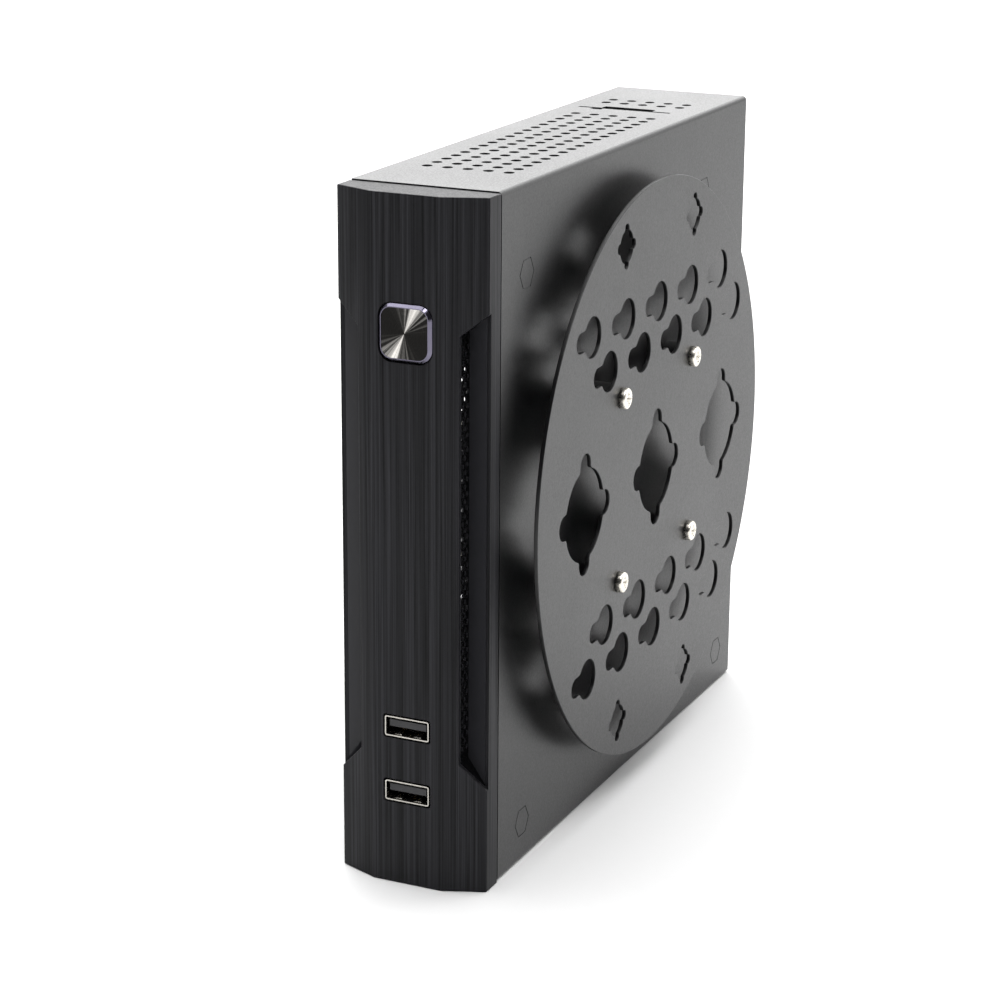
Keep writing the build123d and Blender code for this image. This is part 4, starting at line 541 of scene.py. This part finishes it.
def superellipse(angle, half, corner):
    """Distance from the middle to the edge of a rounded square, by angle.

    The square has half side `half` and corner radius `corner`. Along a ray the edge is met
    on a flat side, or else on the corner's arc, which solves |p - c| = corner for p.
    """
    turned = np.abs((angle + math.pi / 4) % (math.pi / 2) - math.pi / 4)
    flat = half / np.cos(turned)
    inner = half - corner
    middle = inner * math.sqrt(2)
    off = math.pi / 4 - turned
    inside = np.maximum(corner**2 - (middle * np.sin(off)) ** 2, 0.0)
    arc = middle * np.cos(off) + np.sqrt(inside)
    return np.where(flat * np.sin(turned) <= inner, flat, arc)


def button_face_surface(details):
    """Turned face of the power button.

    Point (u, v) lies at angle v and at radius u times the rounded square's reach at that
    angle. It lies flat in Y, with a cosine groove in radius and a plain rim.
    """
    low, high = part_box("power_button_cap")
    centre_z = (low.z + high.z) / 2
    half = (high.x - low.x) / 2 - RING_WIDTH
    angle = np.linspace(0, 2 * math.pi, FACE_SPOKES, endpoint=False)[None, :]
    share = np.linspace(0.0, 1.0, FACE_RINGS)[:, None]
    radius = share * superellipse(angle, half, FACE_CORNER)
    groove = details.groove_depth * np.cos(2 * math.pi * radius / details.groove_pitch)
    flat_y = low.y + CAP_RECESS - details.face_lift
    height = flat_y - groove * (share < GROOVED_SHARE)
    points = np.stack([radius * np.sin(angle), height, centre_z + radius * np.cos(angle)], -1)
    return points, grid_faces(FACE_RINGS, FACE_SPOKES, True)


def screw_surface(y, z, under, crown, radius, tip, details):
    """One pan-head screw along X, centred on (y, z).

    The profile is turned about the axis. Its head is a quarter of a superellipse, so the
    radius is radius * sin(t) ** p and the height is head * cos(t) ** p. It then steps in to
    the shank and runs to the tip. A cross is pressed into the crown: its depth is full where
    the point lies inside one of the two bars, and falls smoothly to nought at their edges.
    """
    t = np.linspace(0.0, math.pi / 2, HEAD_RINGS)
    head = crown - under
    shank = SHANK_SHARE * radius
    reach = np.concatenate([radius * np.sin(t) ** HEAD_POWER, [shank, shank, 0.0]])
    height = np.concatenate([head * np.cos(t) ** HEAD_POWER, [0.0, tip - under, tip - under]])
    angle = np.linspace(0, 2 * math.pi, HEAD_SPOKES, endpoint=False)[None, :]
    across = reach[:, None] * np.cos(angle)
    up = reach[:, None] * np.sin(angle)
    near = np.minimum(np.abs(across), np.abs(up))
    far = np.maximum(np.abs(across), np.abs(up))
    bar = np.clip((CROSS_HALF_WIDTH * radius - near) / (CROSS_SIDE_BLUR * radius) + 0.5, 0, 1)
    arm = np.clip((CROSS_HALF_LENGTH * radius - far) / (CROSS_END_BLUR * radius) + 0.5, 0, 1)
    pressed = details.recess_depth * bar * arm * (height[:, None] > 0.5 * head)
    points = np.stack([under + height[:, None] - pressed, y + across, z + up], -1)
    return points, grid_faces(len(reach), HEAD_SPOKES, True)


def leaf_surface(x, wall, inward, mouth, bow):
    """A leaf spring on a socket's wall.

    It runs inwards along Y from the mouth. Its height off the wall is bow * sin(pi u) ** 2,
    and it narrows towards its free end.
    """
    u = np.linspace(0.0, 1.0, LEAF_ROWS)[:, None]
    v = np.linspace(-0.5, 0.5, LEAF_COLUMNS)[None, :]
    across = x + v * LEAF_WIDTH * (1.0 - LEAF_TAPER * u)
    along = mouth + u * LEAF_LENGTH + 0 * v
    off = wall + inward * (bow * np.sin(math.pi * u) ** 2 + LEAF_SHEET) + 0 * v
    return np.stack([across, along, off], -1), grid_faces(LEAF_ROWS, LEAF_COLUMNS, False)


# ---- operators ----


class MINIPC_OT_case(bpy.types.Operator):
    """Powder coat on the folded case, the end panels and the plate"""

    bl_idname = "minipc.case"
    bl_label = "Case"

    def execute(self, context):
        coat = powder_coat(context.scene.minipc_finish)
        details = context.scene.minipc_detail
        give(coat, "base_tray", "side_cover", "front_frame", "rear_panel", "mounting_plate")
        rounded_copy("plate_rounded", "mounting_plate", details.plate_edge, coat)
        return {"FINISHED"}


class MINIPC_OT_bezel(bpy.types.Operator):
    """Brushed finish on the bezel and gloss on the sheets in its notches"""

    bl_idname = "minipc.bezel"
    bl_label = "Bezel"

    def execute(self, context):
        settings = context.scene.minipc_finish
        brushed = brushed_bezel(settings)
        give(brushed, "front_bezel")
        edge = context.scene.minipc_detail.bezel_edge
        rounded_copy("bezel_rounded", "front_bezel", edge, brushed)
        give(liner_gloss(settings), "notch_liner_right", "notch_liner_left")
        return {"FINISHED"}


class MINIPC_OT_button(bpy.types.Operator):
    """Polished ring and turned face of the power button"""

    bl_idname = "minipc.button"
    bl_label = "Power button"

    def execute(self, context):
        settings = context.scene.minipc_finish
        give(plated("polished_ring", settings.ring, 0.16), "power_button_cap")
        low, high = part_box("power_button_cap")
        centre = ((low.x + high.x) / 2, low.y, (low.z + high.z) / 2)
        points, faces = button_face_surface(context.scene.minipc_detail)
        face = mesh_of("button_spun_face", points, faces)
        dress(face, spun_metal_painted_sheen(settings, centre), "power_button")
        give(moulding("carrier_plastic", (0.02, 0.02, 0.022)), "button_plunger", "power_switch")
        self.spring()
        return {"FINISHED"}

    def spring(self):
        """The return spring, a copy with a mesh of its own."""
        wire = plated("spring_wire", (0.6, 0.6, 0.58), 0.3)
        coil = stand_in("return_spring", "button_spring", 0.0, wire, "case")
        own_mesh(coil)


class MINIPC_OT_sockets(bpy.types.Operator):
    """Front and rear sockets"""

    bl_idname = "minipc.sockets"
    bl_label = "Sockets"

    def execute(self, context):
        settings = context.scene.minipc_finish
        nickel = plated("nickel_shell", settings.nickel, 0.24, stretch=(1, 0.05, 1))
        give(nickel, "usb_upper_shell", "usb_lower_shell", "hdmi_port", "display_port")
        give(nickel, "rear_usb_stack_low", "rear_usb_stack_high", "lan_jack")
        for node in ("usb_upper_shell", "usb_lower_shell"):
            self.leaves(node, nickel, context.scene.minipc_detail.spring_bow)
        tongue = moulding("tongue_plastic", (0.022, 0.022, 0.024))
        give(tongue, "usb_upper_tongue", "usb_lower_tongue")
        port = moulding("port_plastic", (0.02, 0.02, 0.021))
        give(port, "power_inlet", "audio_jacks", "memory_sockets")
        give(plated("gold_contact", (0.83, 0.6, 0.28), 0.25), "usb_contacts", "antenna_jacks")
        return {"FINISHED"}

    def leaves(self, node, finish, bow):
        """Two leaf springs on the floor and two on the roof of one socket's shell."""
        low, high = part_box(node)
        middle = (low.x + high.x) / 2
        spread = (high.x - low.x) * LEAF_SPREAD
        floor = (low.z + SHELL_SHEET, 1, bow)
        roof = (high.z - SHELL_SHEET, -1, bow * ROOF_BOW_SHARE)
        sheets = [
            leaf_surface(x, wall, inward, low.y + LEAF_INSET, height)
            for x in (middle - spread, middle + spread)
            for wall, inward, height in (floor, roof)
        ]
        made = joined(node + "_leaves", sheets)
        thick = made.modifiers.new("sheet", "SOLIDIFY")
        thick.thickness = LEAF_SHEET
        thick.offset = 0.0
        dress(made, finish, "case")


class MINIPC_OT_plate_screws(bpy.types.Operator):
    """The four turned screws that hold the plate"""

    bl_idname = "minipc.plate_screws"
    bl_label = "Plate screws"

    def execute(self, context):
        details = context.scene.minipc_detail
        low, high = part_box("plate_screws")
        plate_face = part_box("mounting_plate")[1].x
        sheets = [
            screw_surface(y, z, plate_face, high.x, HEAD_RADIUS, low.x, details)
            for y in (low.y + HEAD_RADIUS, high.y - HEAD_RADIUS)
            for z in (low.z + HEAD_RADIUS, high.z - HEAD_RADIUS)
        ]
        bright = polished(context.scene.minipc_finish)
        made = joined("plate_screws_turned", sheets)
        dress(made, bright, "case")
        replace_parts(made, "plate_screws")
        give(bright, "plate_screws")
        return {"FINISHED"}


class MINIPC_OT_inside(bpy.types.Operator):
    """Boards, cooler, drive and leads inside the case"""

    bl_idname = "minipc.inside"
    bl_label = "Inside"

    def execute(self, context):
        settings = context.scene.minipc_finish
        mask = solder_mask("solder_mask", (0.006, 0.03, 0.022))
        give(mask, "motherboard", "switch_board", "front_io_board")
        give(mask, "memory_module_lower", "memory_module_upper", "solid_state_card", "wireless_card")
        epoxy = moulding("chip_epoxy", (0.015, 0.015, 0.016), 0.55)
        give(epoxy, "processor", "board_chips", "board_chokes")
        fins = plated("fin_aluminium", (0.62, 0.62, 0.64), 0.35, stretch=(1, 0.05, 1))
        give(fins, "heatsink")
        give(plated("drive_case", (0.5, 0.5, 0.52), 0.38), "drive")
        zinc = plated("zinc_plate", (0.6, 0.6, 0.58), 0.34)
        give(zinc, "drive_bracket", "io_shield", "board_standoffs", "switch_posts", "coin_cell")
        give(zinc, "plate_nuts")
        give(moulding("spacer_plastic", (0.006, 0.006, 0.0065)), "plate_spacers")
        bright = plated("screw_steel", settings.screw, 0.22)
        give(bright, "cover_screws", "io_board_screws", "board_screws", "fan_screws", "drive_screws")
        give(moulding("fan_plastic", (0.014, 0.014, 0.015), 0.45), "fan_frame", "fan_rotor")
        give(moulding("pin_plastic", (0.12, 0.12, 0.12)), "switch_actuator")
        leads = jacket("lead_jacket", (0.012, 0.012, 0.013))
        give(leads, "switch_lead", "front_usb_lead", "fan_lead", "drive_lead")
        return {"FINISHED"}


def soft_panel(name, direction, distance, width, height, radiance):
    """A rectangular light that faces the object from one direction.

    Its power is radiance times pi times its area, so its brightness is the same at any size.
    """
    lamp = bpy.data.lights.new(name, "AREA")
    lamp.shape = "RECTANGLE"
    lamp.size = width
    lamp.size_y = height
    lamp.energy = radiance * math.pi * width * height
    made = bpy.data.objects.new(name, lamp)
    bpy.context.scene.collection.objects.link(made)
    towards = Vector(direction).normalized()
    made.location = towards * distance + Vector(PANEL_AIM)
    made.rotation_euler = towards.to_track_quat("Z", "Y").to_euler()
    return made


class MINIPC_OT_stage(bpy.types.Operator):
    """Pale floor, soft lights and the camera"""

    bl_idname = "minipc.stage"
    bl_label = "Stage"

    def execute(self, context):
        settings = context.scene.minipc_stage
        self.floor(settings)
        self.lights(context, settings)
        self.camera(context, settings)
        return {"FINISHED"}

    def floor(self, settings):
        """A flat sheet just under the object."""
        across = np.linspace(-FLOOR_HALF, FLOOR_HALF, FLOOR_LINES)
        xs, ys = np.meshgrid(across, across, indexing="xy")
        points = np.stack([xs, ys, np.full_like(xs, -FLOOR_GAP)], -1)
        floor = mesh_of("floor", points, grid_faces(FLOOR_LINES, FLOOR_LINES, False))
        floor.data.materials.append(painted_floor(settings).material)

    def lights(self, context, settings):
        """A room that is white behind and dim in front, and four soft panels."""
        world = bpy.data.worlds.new("room")
        world.use_nodes = True
        nodes = world.node_tree.nodes
        links = world.node_tree.links
        background = nodes["Background"]
        background.inputs["Color"].default_value = (1, 1, 1, 1)
        parts = nodes.new("ShaderNodeSeparateXYZ")
        links.new(nodes.new("ShaderNodeTexCoord").outputs["Generated"], parts.inputs[0])
        fade = nodes.new("ShaderNodeMapRange")
        for socket, value in enumerate((*ROOM_FADE, settings.front, settings.world), start=1):
            fade.inputs[socket].default_value = value
        links.new(parts.outputs["Y"], fade.inputs[0])
        links.new(fade.outputs[0], background.inputs["Strength"])
        context.scene.world = world
        soft_panel("back_panel", (-0.40, 0.87, 0.36), 2.6, 3.4, 1.8, settings.back)
        soft_panel("top_panel", (-0.3, 0.1, 1.0), 2.2, 2.2, 2.2, settings.top)
        soft_panel("key_panel", (0.34, -0.34, 0.9), 1.8, 0.7, 0.7, settings.key)
        soft_panel("side_panel", (0.9, 0.9, 0.5), 2.6, 1.2, 1.6, settings.side)

    def camera(self, context, settings):
        """Looks along the azimuth and elevation; depth of field stays off."""
        azimuth = settings.camera_azimuth
        elevation = settings.camera_elevation
        level = Vector((-math.sin(azimuth), math.cos(azimuth), 0))
        forward = level * math.cos(elevation) - Vector((0, 0, math.sin(elevation)))
        right = forward.cross(Vector((0, 0, 1))).normalized()
        up = right.cross(forward)
        roll = settings.camera_roll
        side = right * math.cos(roll) + up * math.sin(roll)
        top = up * math.cos(roll) - right * math.sin(roll)
        lens = bpy.data.cameras.new("camera")
        lens.sensor_width = SENSOR_WIDTH
        lens.lens = settings.camera_lens
        lens.clip_end = VIEW_END
        made = bpy.data.objects.new("camera", lens)
        turn = Matrix((side, top, -forward)).transposed().to_4x4()
        made.matrix_world = Matrix.Translation(Vector(settings.camera_place)) @ turn
        context.scene.collection.objects.link(made)
        context.scene.camera = made
        context.scene.view_settings.view_transform = "Standard"


class MINIPC_PT_panel(bpy.types.Panel):
    """Lists the settings and the steps"""

    bl_label = "Mini PC"
    bl_idname = "MINIPC_PT_panel"
    bl_space_type = "VIEW_3D"
    bl_region_type = "UI"
    bl_category = "Mini PC"

    def draw(self, context):
        for holder in GROUPS:
            group = getattr(context.scene, holder)
            box = self.layout.box()
            for name in group.bl_rna.properties.keys():
                if name not in ("rna_type", "name"):
                    box.prop(group, name)
        for step in STEPS:
            self.layout.operator(step.bl_idname)


GROUPS = {
    "minipc_finish": FinishSettings,
    "minipc_detail": DetailSettings,
    "minipc_stage": StageSettings,
}
STEPS = (
    MINIPC_OT_stage,
    MINIPC_OT_case,
    MINIPC_OT_bezel,
    MINIPC_OT_button,
    MINIPC_OT_sockets,
    MINIPC_OT_plate_screws,
    MINIPC_OT_inside,
)


def register():
    """Registers the settings, the steps and the panel."""
    for name, group in GROUPS.items():
        bpy.utils.register_class(group)
        setattr(bpy.types.Scene, name, PointerProperty(type=group))
    for step in STEPS:
        bpy.utils.register_class(step)
    bpy.utils.register_class(MINIPC_PT_panel)


def unregister():
    """Takes everything out again, last first."""
    bpy.utils.unregister_class(MINIPC_PT_panel)
    for step in reversed(STEPS):
        bpy.utils.unregister_class(step)
    for name, group in reversed(GROUPS.items()):
        delattr(bpy.types.Scene, name)
        bpy.utils.unregister_class(group)


def main():
    """Builds everything."""
    register()
    for step in STEPS:
        group, name = step.bl_idname.split(".")
        getattr(getattr(bpy.ops, group), name)()


if __name__ == "__main__":
    main()
